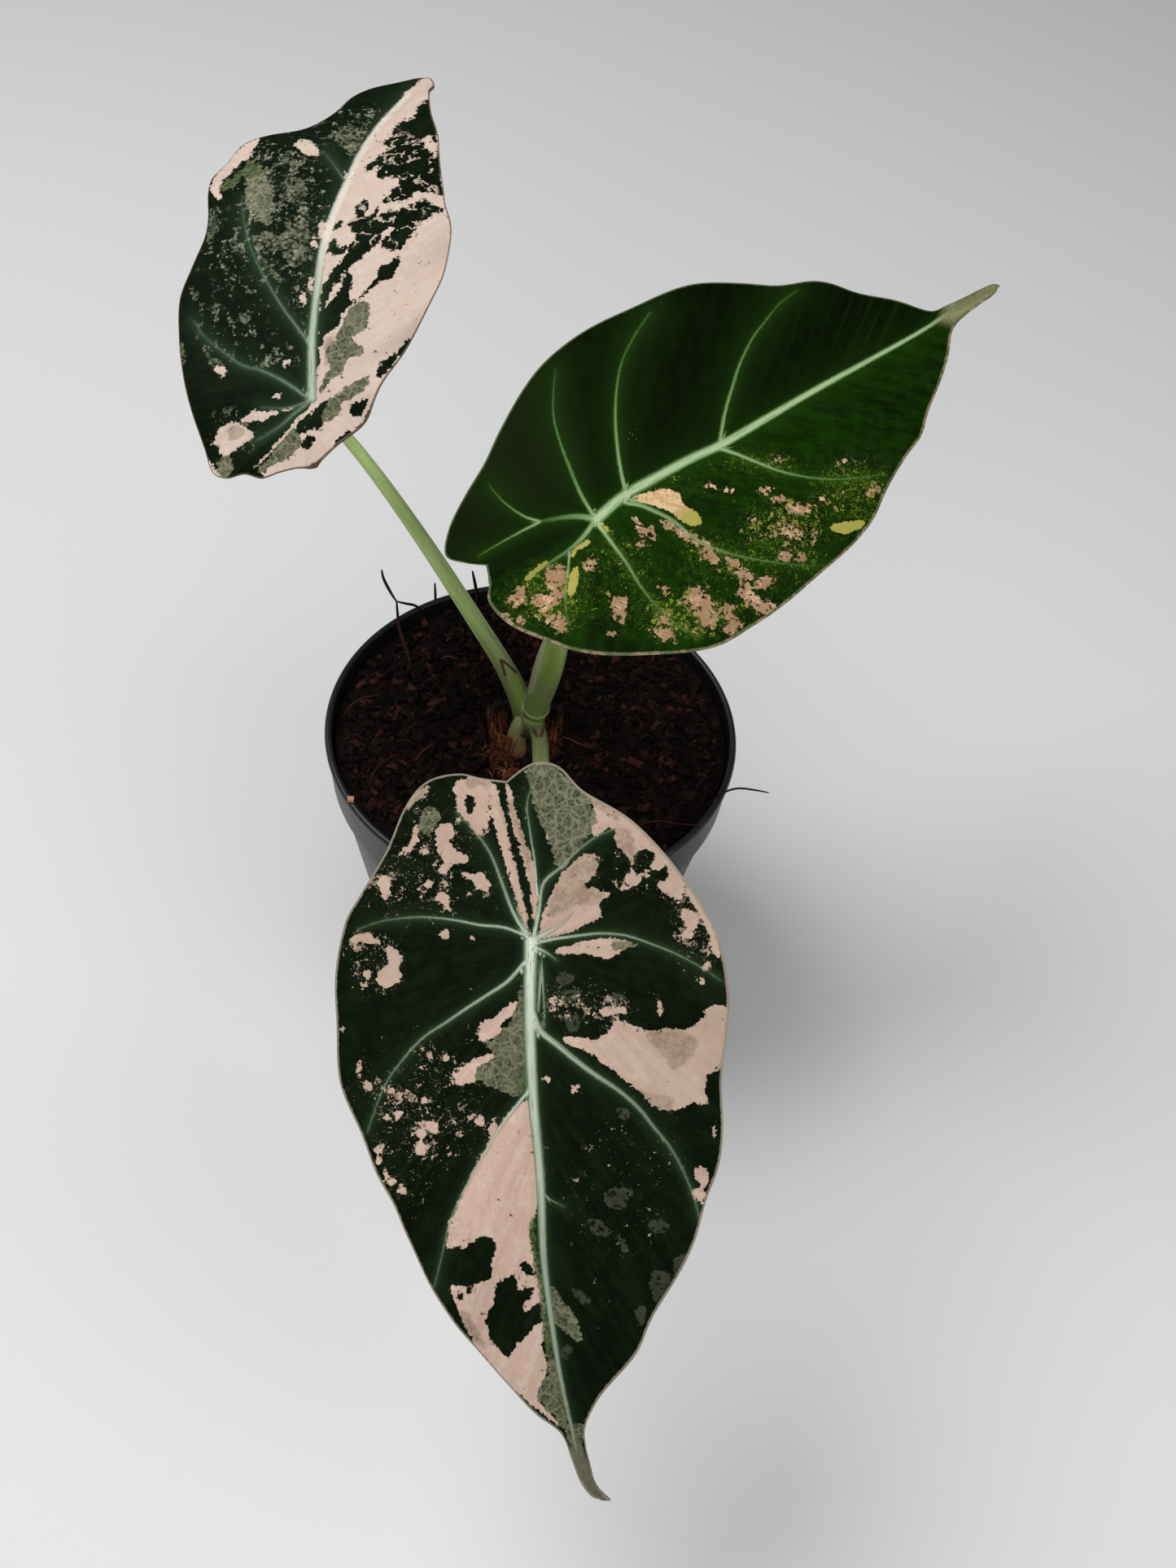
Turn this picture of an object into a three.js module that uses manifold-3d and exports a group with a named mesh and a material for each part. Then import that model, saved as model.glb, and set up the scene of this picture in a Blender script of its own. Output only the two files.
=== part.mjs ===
// Pink variegated black velvet alocasia in a plastic nursery pot.
// Millimetres, +Z up. The origin is the middle of the pot's base, on the surface it stands on.
// Three peltate leaves rise from one crown: one leans to the front (-Y), one to the right (+X),
// one to the left.
import * as THREE from 'three';
import { mergeVertices } from 'three/addons/utils/BufferGeometryUtils.js';
import Module from 'manifold-3d';

const wasm = await Module();
wasm.setup();

// Pot
const RIM_RADIUS = 57.5;
const BASE_RADIUS = 40;
const POT_HEIGHT = 92;
const WALL = 1.4;
const FLOOR_THICKNESS = 1.6;
const COLLAR_HEIGHT = 15;
const COLLAR_STEP = 1.5;
const LIP_WIDTH = 2.2;
const LIP_HEIGHT = 2.2;
const LIP_OVERHANG = 0.7;
const COLLAR_TAPER = 1.1;
const BASE_ROUNDING = 1.2;
const STEP_BELOW = 1;
const INNER_STEP_BELOW = 1.5;
const INNER_STEP_ABOVE = 1;
const LIP_SHOULDER_SHARE = 0.4;
const LIP_ROUNDING = 0.4;
const FLOOR_CORNER = 0.4;
const COLLAR_Z = POT_HEIGHT - COLLAR_HEIGHT;
const LIP_Z = POT_HEIGHT - LIP_HEIGHT;
const COLLAR_TOP_RADIUS = RIM_RADIUS - LIP_OVERHANG;
const COLLAR_FOOT_RADIUS = COLLAR_TOP_RADIUS - COLLAR_TAPER;
const WALL_TOP_RADIUS = COLLAR_FOOT_RADIUS - COLLAR_STEP;
const LIP_INNER_RADIUS = RIM_RADIUS - LIP_WIDTH;
const FLOOR_RADIUS = BASE_RADIUS - WALL - FLOOR_CORNER;
const POT_SEGMENTS = 60;
const DRAIN_HOLES = 6;
const DRAIN_RADIUS = 4;
const DRAIN_CIRCLE = 27;
const DRAIN_SIDES = 16;

// Potting mix
const SOIL_GAP = 0.3;
const SOIL_WALL_GAP = 0.5;
const SOIL_STEP_BELOW = 2;
const SOIL_STEP_ABOVE = 1.5;
const SOIL_EDGE_Z = 88;
const SOIL_MOUND = 2;
const SOIL_ROUGHNESS = 0.7;
const SOIL_RINGS = 7;
const SOIL_SPOKES = 32;
const CHIP_COUNT = 60;
const CHIP_LONGEST = 7;
const CHIP_SHORTEST = 3.2;
const CHIP_TILT = 0.35;
const CHIP_LIFT = 0.1;
const CHIP_SINK = 0.3;
const CHIP_STRAY = 0.5;
const CHIP_WIDTH_SHARE = 0.35;
const CHIP_WIDTH_SPREAD = 0.3;
const CHIP_HEIGHT_SHARE = 0.25;
const CHIP_HEIGHT_SPREAD = 0.2;
const CORNER_SHIFTS = [[0.62, 0.5], [0.62, 0.5], [0.7, 0.4]];
const CHIPS_INNER_RADIUS = 12.5;
const CHIPS_EDGE_MARGIN = 4.5;
const SOCKET_MIDDLE_GAP = 0.8;
const SOCKET_TOP_GAP = 2;
const SOCKET_TOP_Z = 98;
const SOCKET_SEGMENTS = 24;
const GOLDEN_ANGLE = Math.PI * (3 - Math.sqrt(5));
const STRAND_RADIUS = 0.45;
const STRAND_SIDES = 5;
const STRAND_RINGS = 6;

// Crown and petioles
const CROWN_RADIUS = 5.7;
const CROWN_BOTTOM_Z = 70;
const CROWN_TOP_Z = 93.5;
const CROWN_X = -0.4;
const CROWN_Y = 1.6;
const CROWN_DEPTH_SHARE = 0.85;
const CROWN_WIDEST_SHARE = 0.45;
const CROWN_ROUNDING = 1.6;
const CROWN_LEVELS = 6;
const CROWN_SIDES = 16;
const BUD_ROUTE = [[-2.8, -1, 80], [-3.5, -3.2, 88], [-3.8, -3.6, 94.5]];
const BUD_RADIUS = 3.3;
const BUD_ROUNDING = 1.05;
const BUD_RINGS = 5;
const BUD_SIDES = 10;
const PETIOLE_SIDES = 12;
const PETIOLE_RINGS = 14;
const PETIOLE_BLADE_GAP = 0.3;

// Brown remains of old leaf sheaths: a ragged cuff about the crown, open to the front
const CUFF_INNER = 8.5;
const CUFF_THICKNESS = 0.8;
const CUFF_BOTTOM_Z = 82;
const CUFF_TOP_Z = 94.8;
const CUFF_RAGGED = 3.2;
const CUFF_GAP = 0.35;
const CUFF_X = -2;
const CUFF_Y = 1.2;
const CUFF_DEPTH_SHARE = 0.96;
const CUFF_MIDDLE_Z = 90;
const CUFF_MIDDLE_FLARE = 0.3;
const CUFF_SECTIONS = 34;
const CUFF_FROM = -50;
const CUFF_TURN = 300;
const CUFF_FLARE = 0.3;
const CUFF_WOBBLE = 0.5;
const CUFF_WOBBLES = 5;
const CUFF_PEAKS = 3.1;
const CUFF_PEAK_SHARE = 0.6;

// Blades
const BLADE_THICKNESS = 0.8;
const MIDRIB_DEPTH = 2.2;
const SIDE_VEIN_DEPTH = 0.9;
const VEIN_GROOVE = 0.2;
const VEIN_HALF_STEP = 0.13;
const BLADE_COLUMNS = [0, 0.045, 0.16, 0.36, 0.58, 0.8, 1];
const HALF_ROWS_FROM = 9;
const HALF_ROWS_BEFORE_TIP = 4;
const WAVE_STARTS_OVER = 3;
const WAVE_ENDS_OVER = 8;
const WAVE_POWER = 2.4;
const MIDRIB_THINS_BY = 0.8;
const SIDE_VEIN_THINS_BY = 0.75;

const MERGE_WITHIN = 1e-3;
const SEED = 41;
const CUFF_SEED = 48;

function randomStream(seed) {
  let state = seed >>> 0;
  return () => {
    state = (Math.imul(state, 1664525) + 1013904223) >>> 0;
    return state / 4294967296;
  };
}

// A solid from a closed geometry, with shared points merged and shrunken triangles left out
function solid(geometry) {
  const bare = geometry.index ? geometry.toNonIndexed() : geometry.clone();
  bare.deleteAttribute('normal');
  bare.deleteAttribute('uv');
  const merged = mergeVertices(bare, MERGE_WITHIN);
  const source = merged.index.array;
  const kept = [];
  for (let i = 0; i < source.length; i += 3) {
    const [a, b, c] = [source[i], source[i + 1], source[i + 2]];
    if (a !== b && b !== c && c !== a) {
      kept.push(a, b, c);
    }
  }
  return new wasm.Manifold(new wasm.Mesh({
    numProp: 3,
    vertProperties: new Float32Array(merged.attributes.position.array),
    triVerts: new Uint32Array(kept),
  }));
}

function geometryOf(body) {
  const mesh = body.getMesh();
  const geometry = new THREE.BufferGeometry();
  geometry.setAttribute('position', new THREE.BufferAttribute(new Float32Array(mesh.vertProperties), 3));
  geometry.setIndex(new THREE.BufferAttribute(new Uint32Array(mesh.triVerts), 1));
  geometry.computeVertexNormals();
  return geometry;
}

// An indexed geometry from points and triangles
function geometryFrom(points, triangles) {
  const geometry = new THREE.BufferGeometry();
  const numbers = new Float32Array(points.flatMap((p) => p.toArray()));
  geometry.setAttribute('position', new THREE.BufferAttribute(numbers, 3));
  geometry.setIndex(triangles);
  return geometry;
}

// A closed tube through rings of points; the ends are closed by fans about their middles.
function skinRings(rings) {
  const sides = rings[0].length;
  const points = rings.flat();
  const triangles = [];
  for (let i = 0; i + 1 < rings.length; i += 1) {
    for (let j = 0; j < sides; j += 1) {
      const k = (j + 1) % sides;
      const [a, b, c, d] = [i * sides + j, i * sides + k, (i + 1) * sides + k, (i + 1) * sides + j];
      triangles.push(a, b, c, a, c, d);
    }
  }
  for (const [row, turned] of [[0, true], [rings.length - 1, false]]) {
    const middle = new THREE.Vector3();
    rings[row].forEach((p) => middle.add(p));
    points.push(middle.divideScalar(sides));
    for (let j = 0; j < sides; j += 1) {
      const [a, b] = [row * sides + j, row * sides + ((j + 1) % sides)];
      triangles.push(...(turned ? [points.length - 1, b, a] : [points.length - 1, a, b]));
    }
  }
  return geometryFrom(points, triangles);
}

// Rings about a smooth route. section(share, angle) is the radius there; the rings don't twist.
function routeRings(route, count, sides, section) {
  const curve = new THREE.CatmullRomCurve3(route.map((p) => new THREE.Vector3(...p)), false, 'centripetal');
  const rings = [];
  for (let i = 0; i <= count; i += 1) {
    const share = i / count;
    const centre = curve.getPointAt(share);
    const along = curve.getTangentAt(share);
    const across = new THREE.Vector3(1, 0, 0).addScaledVector(along, -along.x).normalize();
    const up = new THREE.Vector3().crossVectors(along, across);
    const ring = [];
    for (let j = 0; j < sides; j += 1) {
      const angle = (2 * Math.PI * j) / sides;
      const radius = section(share, angle);
      ring.push(centre.clone()
        .addScaledVector(across, radius * Math.cos(angle))
        .addScaledVector(up, radius * Math.sin(angle)));
    }
    rings.push(ring);
  }
  return rings;
}

// Blade plane: u runs along the midrib at the petiole, n is the upper face's normal there,
// w points to the blade's right seen from above with the tip ahead.
// Each row runs from the midrib at a = row[0] to one point on each margin, as (a, b) in mm:
// a along the midrib from the petiole, b across. Rows with a = 0 fan about the petiole.
const LEAVES = {
  front: {
    attach: [3.4, -116.2, 150],
    u: [0.04, -0.85, -0.53],
    n: [0, -0.53, 0.85],
    droopTip: 0.003,
    droopBack: 0.003,
    fold: 0.1,
    sideCurl: 0.006,
    bend: -7.36e-6,
    bendFrom: -8,
    bendPower: 3,
    wave: 1.3,
    wavePeriod: 3.3,
    wavePhase: [0.4, 2.1],
    leftVeins: [4, 7, 13],
    rightVeins: [7, 11, 15],
    fanRows: 7,
    rows: [
      [0, -36, 7, -36, 7],
      [0, -40.5, 1, -36.5, 12],
      [0, -40, -5, -37.5, 18],
      [0, -34, -11, -35, 25],
      [0, -27, -22, -29, 30],
      [0, -16, -33, -19, 34],
      [0, -4, -41, -9, 39],
      [0, 8, -43.8, -2, 42.5],
      [1, 19, -44.2, 9, 44.5],
      [2, 30, -43.4, 21, 43.3],
      [4, 41, -43.4, 33, 42],
      [6, 50, -42.5, 43.5, 37.7],
      [11, 57, -40.6, 52, 34],
      [18, 64, -38.5, 59, 29.5],
      [25, 71, -35.5, 67, 26.3],
      [33, 78, -32.3, 76.5, 21.8],
      [43, 85, -28.4, 83.5, 16.8],
      [55, 91.5, -25.4, 89.5, 12.3],
      [68, 98, -21, 95.5, 7.5],
      [82, 104, -17, 101.5, 1.6],
      [95, 109.5, -14.6, 107, -3.6],
      [106, 115, -14.7, 112, -9.1],
      [115, 120, -15.8, 118, -11.6],
      [122, 124.5, -17.2, 123.5, -13.8],
      [126, 126.6, -19.2, 127.4, -16.8],
      [128.1, 128.1, -20.8, 128.1, -20.8],
    ],
  },
  right: {
    attach: [12.7, -19.9, 190],
    u: [0.813, 0.52, 0.258],
    n: [0.1, -0.565, 0.819],
    droopTip: 0.004,
    droopBack: 0.003,
    fold: 0.12,
    sideCurl: 0.006,
    bend: -0.00228,
    bendFrom: -10,
    bendPower: 1.5,
    wave: 1.2,
    wavePeriod: 3.7,
    wavePhase: [1.2, 0.2],
    leftVeins: [5, 8, 11, 15],
    rightVeins: [5, 7, 10, 14],
    fanRows: 7,
    rows: [
      [0, -29, -4, -29, -4],
      [0, -33, -7, -30.5, 0],
      [0, -36, -11, -33, 4],
      [0, -32, -16, -31.5, 11],
      [0, -25, -20.5, -27, 18],
      [0, -17, -25, -20, 26],
      [0, -9, -30.5, -9, 33],
      [0, 1, -36, 7, 40.5],
      [1, 11, -39.5, 19, 41],
      [3, 24, -41.5, 30, 40.3],
      [7, 38, -40.8, 41, 38.7],
      [12, 48, -39.4, 49, 37.2],
      [18, 57, -36.9, 56, 35.2],
      [26, 66, -33.4, 63, 32.8],
      [36, 74, -28.7, 71, 28.2],
      [47, 82, -25.8, 78.5, 24.2],
      [58, 89, -22.4, 86, 21.3],
      [70, 95.5, -18, 93, 17.2],
      [83, 102, -13.3, 100.5, 12.6],
      [95, 108.5, -8.4, 107.5, 7.5],
      [107, 114.5, -6, 114, 2.5],
      [116, 120.5, -5.8, 119.5, -0.1],
      [124, 127.5, -5.7, 125.5, -1.4],
      [132, 135, -5.9, 133.5, -2.4],
      [139, 141.5, -5.9, 141, -3.3],
      [144.5, 144.5, -5, 144.5, -5],
    ],
  },
  left: {
    attach: [-57.1, -3.3, 207],
    u: [-0.08, 0.85, 0.52],
    n: [-0.09, -0.52, 0.85],
    droopTip: 0.007,
    droopBack: 0.003,
    fold: 0.12,
    sideCurl: 0.01,
    bend: 0.0259,
    bendFrom: 22,
    bendPower: 1.5,
    wave: 1.0,
    wavePeriod: 3.5,
    wavePhase: [0.9, 2.6],
    leftVeins: [4, 8, 12],
    rightVeins: [4, 8, 12, 16],
    fanRows: 7,
    rows: [
      [0, -17, -4, -17, -4],
      [0, -18, -8, -16.5, -0.5],
      [0, -19, -12, -14.5, 3],
      [0, -18, -16, -12, 6.5],
      [0, -19, -20, -9, 10],
      [0, -17, -24, -5.5, 13.3],
      [0, -10.5, -26.2, -1, 15.4],
      [0, -2, -28.7, 4, 17.8],
      [1, 8, -31.2, 10.5, 21.8],
      [2, 17, -33, 17, 25.4],
      [5, 27, -33, 24, 28.6],
      [9, 36, -30, 31, 31.1],
      [14, 44.5, -28.5, 38, 32.5],
      [20, 53, -28, 45, 33],
      [28, 61, -28.2, 52, 31.5],
      [37, 68.5, -27.6, 60, 30.6],
      [47, 75, -25.8, 68, 29.5],
      [58, 79.8, -22.6, 76, 28.8],
      [69, 81.4, -15.5, 84, 27.3],
      [79, 84.2, -6.5, 91, 25.9],
      [88, 91.5, 0.8, 97, 25.2],
      [96, 98.5, 5.1, 102, 25],
      [103, 105, 10.8, 106.5, 25.6],
      [108, 109.5, 16.4, 109.5, 25],
      [111, 111.6, 20, 111.6, 23.6],
      [112.6, 112.6, 22, 112.6, 22],
    ],
  },
};

function catmull(p0, p1, p2, p3, t) {
  return 0.5 * (2 * p1 + (p2 - p0) * t + (2 * p0 - 5 * p1 + 4 * p2 - p3) * t * t
    + (3 * p1 - p0 - 3 * p2 + p3) * t * t * t);
}

// The row at a fractional index, smoothed through the rows given.
function rowAt(rows, index) {
  const last = rows.length - 1;
  const base = Math.min(Math.floor(index), last - 1);
  const t = index - base;
  const pick = (i) => rows[Math.max(0, Math.min(last, i))];
  const [p0, p1, p2, p3] = [pick(base - 1), pick(base), pick(base + 1), pick(base + 2)];
  return p1.map((_, c) => catmull(p0[c], p1[c], p2[c], p3[c], t));
}

function midribB(leaf, a) {
  return leaf.bend * Math.max(0, a - leaf.bendFrom) ** leaf.bendPower;
}

// The blade's middle surface: the midrib droops along an arc, each half rises from it at the
// fold angle and curls down towards its margin.
function bladeFrame(leaf, a, b) {
  const u = new THREE.Vector3(...leaf.u).normalize();
  const n = new THREE.Vector3(...leaf.n).normalize();
  const w = new THREE.Vector3().crossVectors(u, n);
  const droop = a > 0 ? leaf.droopTip : leaf.droopBack;
  const turn = droop * a;
  const normal = n.clone().multiplyScalar(Math.cos(turn)).addScaledVector(u, Math.sin(turn));
  const shift = midribB(leaf, a);
  const out = Math.abs(b - shift);
  const side = Math.sign(b - shift);
  const tilt = leaf.fold - leaf.sideCurl * out;
  const across = (Math.sin(leaf.fold) - Math.sin(tilt)) / leaf.sideCurl;
  const rise = (Math.cos(tilt) - Math.cos(leaf.fold)) / leaf.sideCurl;
  const point = new THREE.Vector3(...leaf.attach)
    .addScaledVector(u, Math.sin(turn) / droop)
    .addScaledVector(n, -(1 - Math.cos(turn)) / droop)
    .addScaledVector(w, shift + side * across)
    .addScaledVector(normal, rise);
  const face = normal.clone().multiplyScalar(Math.cos(tilt)).addScaledVector(w, -side * Math.sin(tilt));
  return { point, face };
}

// Samples of the row index: every row, half-way rows, and a close pair beside each side vein.
function rowSamples(leaf) {
  const last = leaf.rows.length - 1;
  const samples = new Set();
  for (let i = 0; i <= last; i += 1) {
    samples.add(i);
    if (i >= HALF_ROWS_FROM && i < last - HALF_ROWS_BEFORE_TIP) {
      samples.add(i + 0.5);
    }
  }
  for (const i of [...leaf.leftVeins, ...leaf.rightVeins]) {
    samples.add(i - VEIN_HALF_STEP);
    samples.add(i + VEIN_HALF_STEP);
  }
  return [...samples].sort((x, y) => x - y);
}

function bladePoint(leaf, index, side, share, upper) {
  const last = leaf.rows.length - 1;
  const row = rowAt(leaf.rows, index);
  const margin = side < 0 ? [row[1], row[2]] : [row[3], row[4]];
  const along = index <= leaf.fanRows ? 0 : row[0];
  const middle = index === last ? margin : [along, midribB(leaf, along)];
  const a = middle[0] + (margin[0] - middle[0]) * share;
  const b = middle[1] + (margin[1] - middle[1]) * share;
  const { point, face } = bladeFrame(leaf, a, b);
  const phase = leaf.wavePhase[side < 0 ? 0 : 1];
  const ends = Math.min(1, index / WAVE_STARTS_OVER) * Math.min(1, (last - index) / WAVE_ENDS_OVER);
  const swing = Math.sin((2 * Math.PI * index) / leaf.wavePeriod + phase);
  const ripple = leaf.wave * ends * share ** WAVE_POWER * swing;
  const toTip = Math.max(0, row[0]) / leaf.rows[last][0];
  const onVein = (side < 0 ? leaf.leftVeins : leaf.rightVeins).includes(index);
  const midrib = share === 0 ? MIDRIB_DEPTH * (1 - MIDRIB_THINS_BY * toTip) : 0;
  const vein = onVein && share < 1 ? SIDE_VEIN_DEPTH * (1 - SIDE_VEIN_THINS_BY * share) : 0;
  const groove = midrib + vein > 0 ? VEIN_GROOVE : 0;
  const half = BLADE_THICKNESS / 2;
  const rib = Math.max(midrib, vein) * (index === last ? 0 : 1);
  return point.addScaledVector(face, ripple + (upper ? half - groove : -half - rib));
}

function blade(leaf) {
  const samples = rowSamples(leaf);
  const columns = [
    ...BLADE_COLUMNS.slice(1).reverse().map((share) => [-1, share]),
    [1, 0],
    ...BLADE_COLUMNS.slice(1).map((share) => [1, share]),
  ];
  const points = [];
  for (const upper of [true, false]) {
    for (const index of samples) {
      for (const [side, share] of columns) {
        points.push(bladePoint(leaf, index, side, share, upper));
      }
    }
  }
  const wide = columns.length;
  const face = samples.length * wide;
  const triangles = [];
  for (let i = 0; i + 1 < samples.length; i += 1) {
    for (let j = 0; j + 1 < wide; j += 1) {
      const [a, b, c, d] = [i * wide + j, i * wide + j + 1, (i + 1) * wide + j + 1, (i + 1) * wide + j];
      if (j < (wide - 1) / 2) {
        triangles.push(a, b, c, a, c, d);
        triangles.push(face + a, face + c, face + b, face + a, face + d, face + c);
      } else {
        triangles.push(a, b, d, b, c, d);
        triangles.push(face + a, face + d, face + b, face + b, face + d, face + c);
      }
    }
    for (const [j, turned] of [[0, false], [wide - 1, true]]) {
      const [a, d] = [i * wide + j, (i + 1) * wide + j];
      const strip = [a, d, face + d, a, face + d, face + a];
      triangles.push(...(turned ? [a, face + d, d, a, face + a, face + d] : strip));
    }
  }
  // The last row has shrunk to the tip's edge, and closes by itself once its points are merged.
  return solid(geometryFrom(points, triangles));
}

// Petioles, from the crown to just under each blade. Each has a shallow channel along its back,
// and swells where its sheath clasps it, about a share of its length.
const PETIOLES = {
  front: {
    route: [[1, 0.5, 80], [1.5, -3.2, 93], [2.4, -16, 105], [3.7, -50, 118.5], [4.3, -86, 135],
      [3.4, -113.6, 148]],
    foot: 2.2,
    top: 2.3,
    swell: { by: 0, at: 0, reach: 1 },
  },
  right: {
    route: [[-0.6, 1.6, 80], [0.2, 3, 93], [2.6, 4.2, 106], [5, 1.8, 124], [8.6, -5, 152],
      [12.4, -18.4, 186.6]],
    foot: 3.25,
    top: 2.3,
    swell: { by: 1.1, at: 0.3, reach: 0.14 },
  },
  left: {
    route: [[-1.4, 2.5, 80], [-2.3, 4.4, 93], [-7.2, 6.4, 106], [-16.9, 7.6, 125], [-32.6, 6.6, 157],
      [-46.8, 1.8, 187], [-56.2, -1.9, 204]],
    foot: 2.9,
    top: 1.4,
    swell: { by: 0.5, at: 0.12, reach: 0.08 },
  },
};

const SHEATH_SHARE = 0.28;
const SHEATH_WIDENING = 0.15;
const CHANNEL_DEPTH_SHARE = 0.12;
const CHANNEL_HALF_ANGLE = 0.6;

function petiole(name, clearance = 0) {
  const { route, foot, top, swell } = PETIOLES[name];
  const leaf = LEAVES[name];
  const rings = routeRings(route, PETIOLE_RINGS, PETIOLE_SIDES, (share, angle) => {
    const bulge = swell.by * Math.exp(-(((share - swell.at) / swell.reach) ** 2));
    const plain = top + (foot - top) * (1 - share) + bulge;
    const sheath = Math.max(0, 1 - share / SHEATH_SHARE);
    const fromChannel = (angle - Math.PI / 2) / CHANNEL_HALF_ANGLE;
    const channel = CHANNEL_DEPTH_SHARE * plain * Math.exp(-(fromChannel ** 2));
    return plain + SHEATH_WIDENING * sheath ** 2 * (1 - Math.sin(angle)) - channel + clearance;
  });
  // The last ring is slid along the petiole onto a plane just under the blade's midrib.
  const normal = new THREE.Vector3(...leaf.n).normalize();
  const depth = BLADE_THICKNESS / 2 + MIDRIB_DEPTH + PETIOLE_BLADE_GAP;
  const plane = new THREE.Vector3(...leaf.attach).addScaledVector(normal, -depth);
  const ends = rings[rings.length - 1];
  const before = rings[rings.length - 2];
  ends.forEach((p, j) => {
    const along = p.clone().sub(before[j]).normalize();
    p.addScaledVector(along, plane.clone().sub(p).dot(normal) / along.dot(normal));
  });
  return solid(skinRings(rings));
}

function crown() {
  const rings = [];
  for (let i = 0; i <= CROWN_LEVELS; i += 1) {
    const share = i / CROWN_LEVELS;
    const z = CROWN_BOTTOM_Z + (CROWN_TOP_Z - CROWN_BOTTOM_Z) * share;
    const radius = CROWN_RADIUS * Math.sqrt(1 - (share - CROWN_WIDEST_SHARE) ** 2 * CROWN_ROUNDING);
    const depth = radius * CROWN_DEPTH_SHARE;
    const ring = [];
    for (let j = 0; j < CROWN_SIDES; j += 1) {
      const angle = (2 * Math.PI * j) / CROWN_SIDES;
      ring.push(new THREE.Vector3(CROWN_X + radius * Math.cos(angle), CROWN_Y + depth * Math.sin(angle), z));
    }
    rings.push(ring);
  }
  return solid(skinRings(rings));
}

// A blunt pale bud beside the front petiole
function bud(clearance = 0) {
  const radius = (share) => BUD_RADIUS * Math.sqrt(BUD_ROUNDING - share ** 3) + clearance;
  return solid(skinRings(routeRings(BUD_ROUTE, BUD_RINGS, BUD_SIDES, radius)));
}

function petiolesAndCrown() {
  return crown().add(petiole('front')).add(petiole('right')).add(petiole('left')).add(bud());
}

function sheathRemains() {
  const random = randomStream(CUFF_SEED);
  const sections = [];
  for (let i = 0; i <= CUFF_SECTIONS; i += 1) {
    const angle = THREE.MathUtils.degToRad(CUFF_FROM + (CUFF_TURN * i) / CUFF_SECTIONS);
    const peaks = CUFF_PEAK_SHARE * Math.sin(CUFF_PEAKS * angle);
    const top = CUFF_TOP_Z + CUFF_RAGGED * (peaks + random() - 0.5);
    const wobble = CUFF_WOBBLE * Math.sin(CUFF_WOBBLES * angle);
    const at = (extra, z, flare) => {
      const radius = CUFF_INNER + extra + (wobble + CUFF_FLARE) * flare;
      const depth = radius * CUFF_DEPTH_SHARE;
      return new THREE.Vector3(CUFF_X + radius * Math.cos(angle), CUFF_Y + depth * Math.sin(angle), z);
    };
    sections.push([
      at(0, CUFF_BOTTOM_Z, 0),
      at(0, CUFF_MIDDLE_Z, CUFF_MIDDLE_FLARE),
      at(0, top, 1),
      at(CUFF_THICKNESS, top, 1),
      at(CUFF_THICKNESS, CUFF_MIDDLE_Z, CUFF_MIDDLE_FLARE),
      at(CUFF_THICKNESS, CUFF_BOTTOM_Z, 0),
    ]);
  }
  let body = solid(skinRings(sections));
  for (const name of ['front', 'right', 'left']) {
    body = body.subtract(petiole(name, CUFF_GAP));
  }
  body = body.subtract(bud(CUFF_GAP));
  const pieces = body.decompose();
  return pieces.reduce((best, next) => (next.volume() > best.volume() ? next : best));
}

// The pot: a tapered wall, a collar that steps out below the rim, and a rounded lip.
function pot() {
  const profile = [
    [0, 0],
    [BASE_RADIUS - BASE_ROUNDING, 0],
    [BASE_RADIUS, BASE_ROUNDING],
    [WALL_TOP_RADIUS, COLLAR_Z - STEP_BELOW],
    [COLLAR_FOOT_RADIUS, COLLAR_Z],
    [COLLAR_TOP_RADIUS, LIP_Z],
    [RIM_RADIUS, LIP_Z + LIP_SHOULDER_SHARE * LIP_HEIGHT],
    [RIM_RADIUS - LIP_ROUNDING, POT_HEIGHT - LIP_ROUNDING],
    [RIM_RADIUS - LIP_WIDTH / 2, POT_HEIGHT],
    [LIP_INNER_RADIUS + LIP_ROUNDING / 2, POT_HEIGHT - LIP_ROUNDING],
    [LIP_INNER_RADIUS, LIP_Z],
    [COLLAR_FOOT_RADIUS - WALL, COLLAR_Z + INNER_STEP_ABOVE],
    [WALL_TOP_RADIUS - WALL, COLLAR_Z - INNER_STEP_BELOW],
    [FLOOR_RADIUS, FLOOR_THICKNESS],
    [0, FLOOR_THICKNESS],
  ];
  let body = solid(new THREE.LatheGeometry(profile.map(([r, z]) => new THREE.Vector2(r, z)), POT_SEGMENTS)
    .rotateX(Math.PI / 2));
  for (let i = 0; i < DRAIN_HOLES; i += 1) {
    const angle = (2 * Math.PI * (i + 0.5)) / DRAIN_HOLES;
    const drill = new THREE.CylinderGeometry(DRAIN_RADIUS, DRAIN_RADIUS, 3 * FLOOR_THICKNESS, DRAIN_SIDES)
      .rotateX(Math.PI / 2)
      .translate(DRAIN_CIRCLE * Math.cos(angle), DRAIN_CIRCLE * Math.sin(angle), FLOOR_THICKNESS / 2);
    body = body.subtract(solid(drill));
  }
  return body;
}

// Radius of the pot's inside at a height, between the corners of the wall's inner profile
function insideRadius(z) {
  const corners = [
    [FLOOR_RADIUS, FLOOR_THICKNESS],
    [WALL_TOP_RADIUS - WALL, COLLAR_Z - INNER_STEP_BELOW],
    [COLLAR_FOOT_RADIUS - WALL, COLLAR_Z + INNER_STEP_ABOVE],
    [LIP_INNER_RADIUS, LIP_Z],
  ];
  const next = Math.max(1, corners.findIndex(([, top]) => z <= top));
  const [r0, z0] = corners[next - 1];
  const [r1, z1] = corners[next];
  return r0 + ((r1 - r0) * (z - z0)) / (z1 - z0);
}

function moundZ(radius) {
  return SOIL_EDGE_Z + SOIL_MOUND * (1 - (radius / RIM_RADIUS) ** 2);
}

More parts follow.
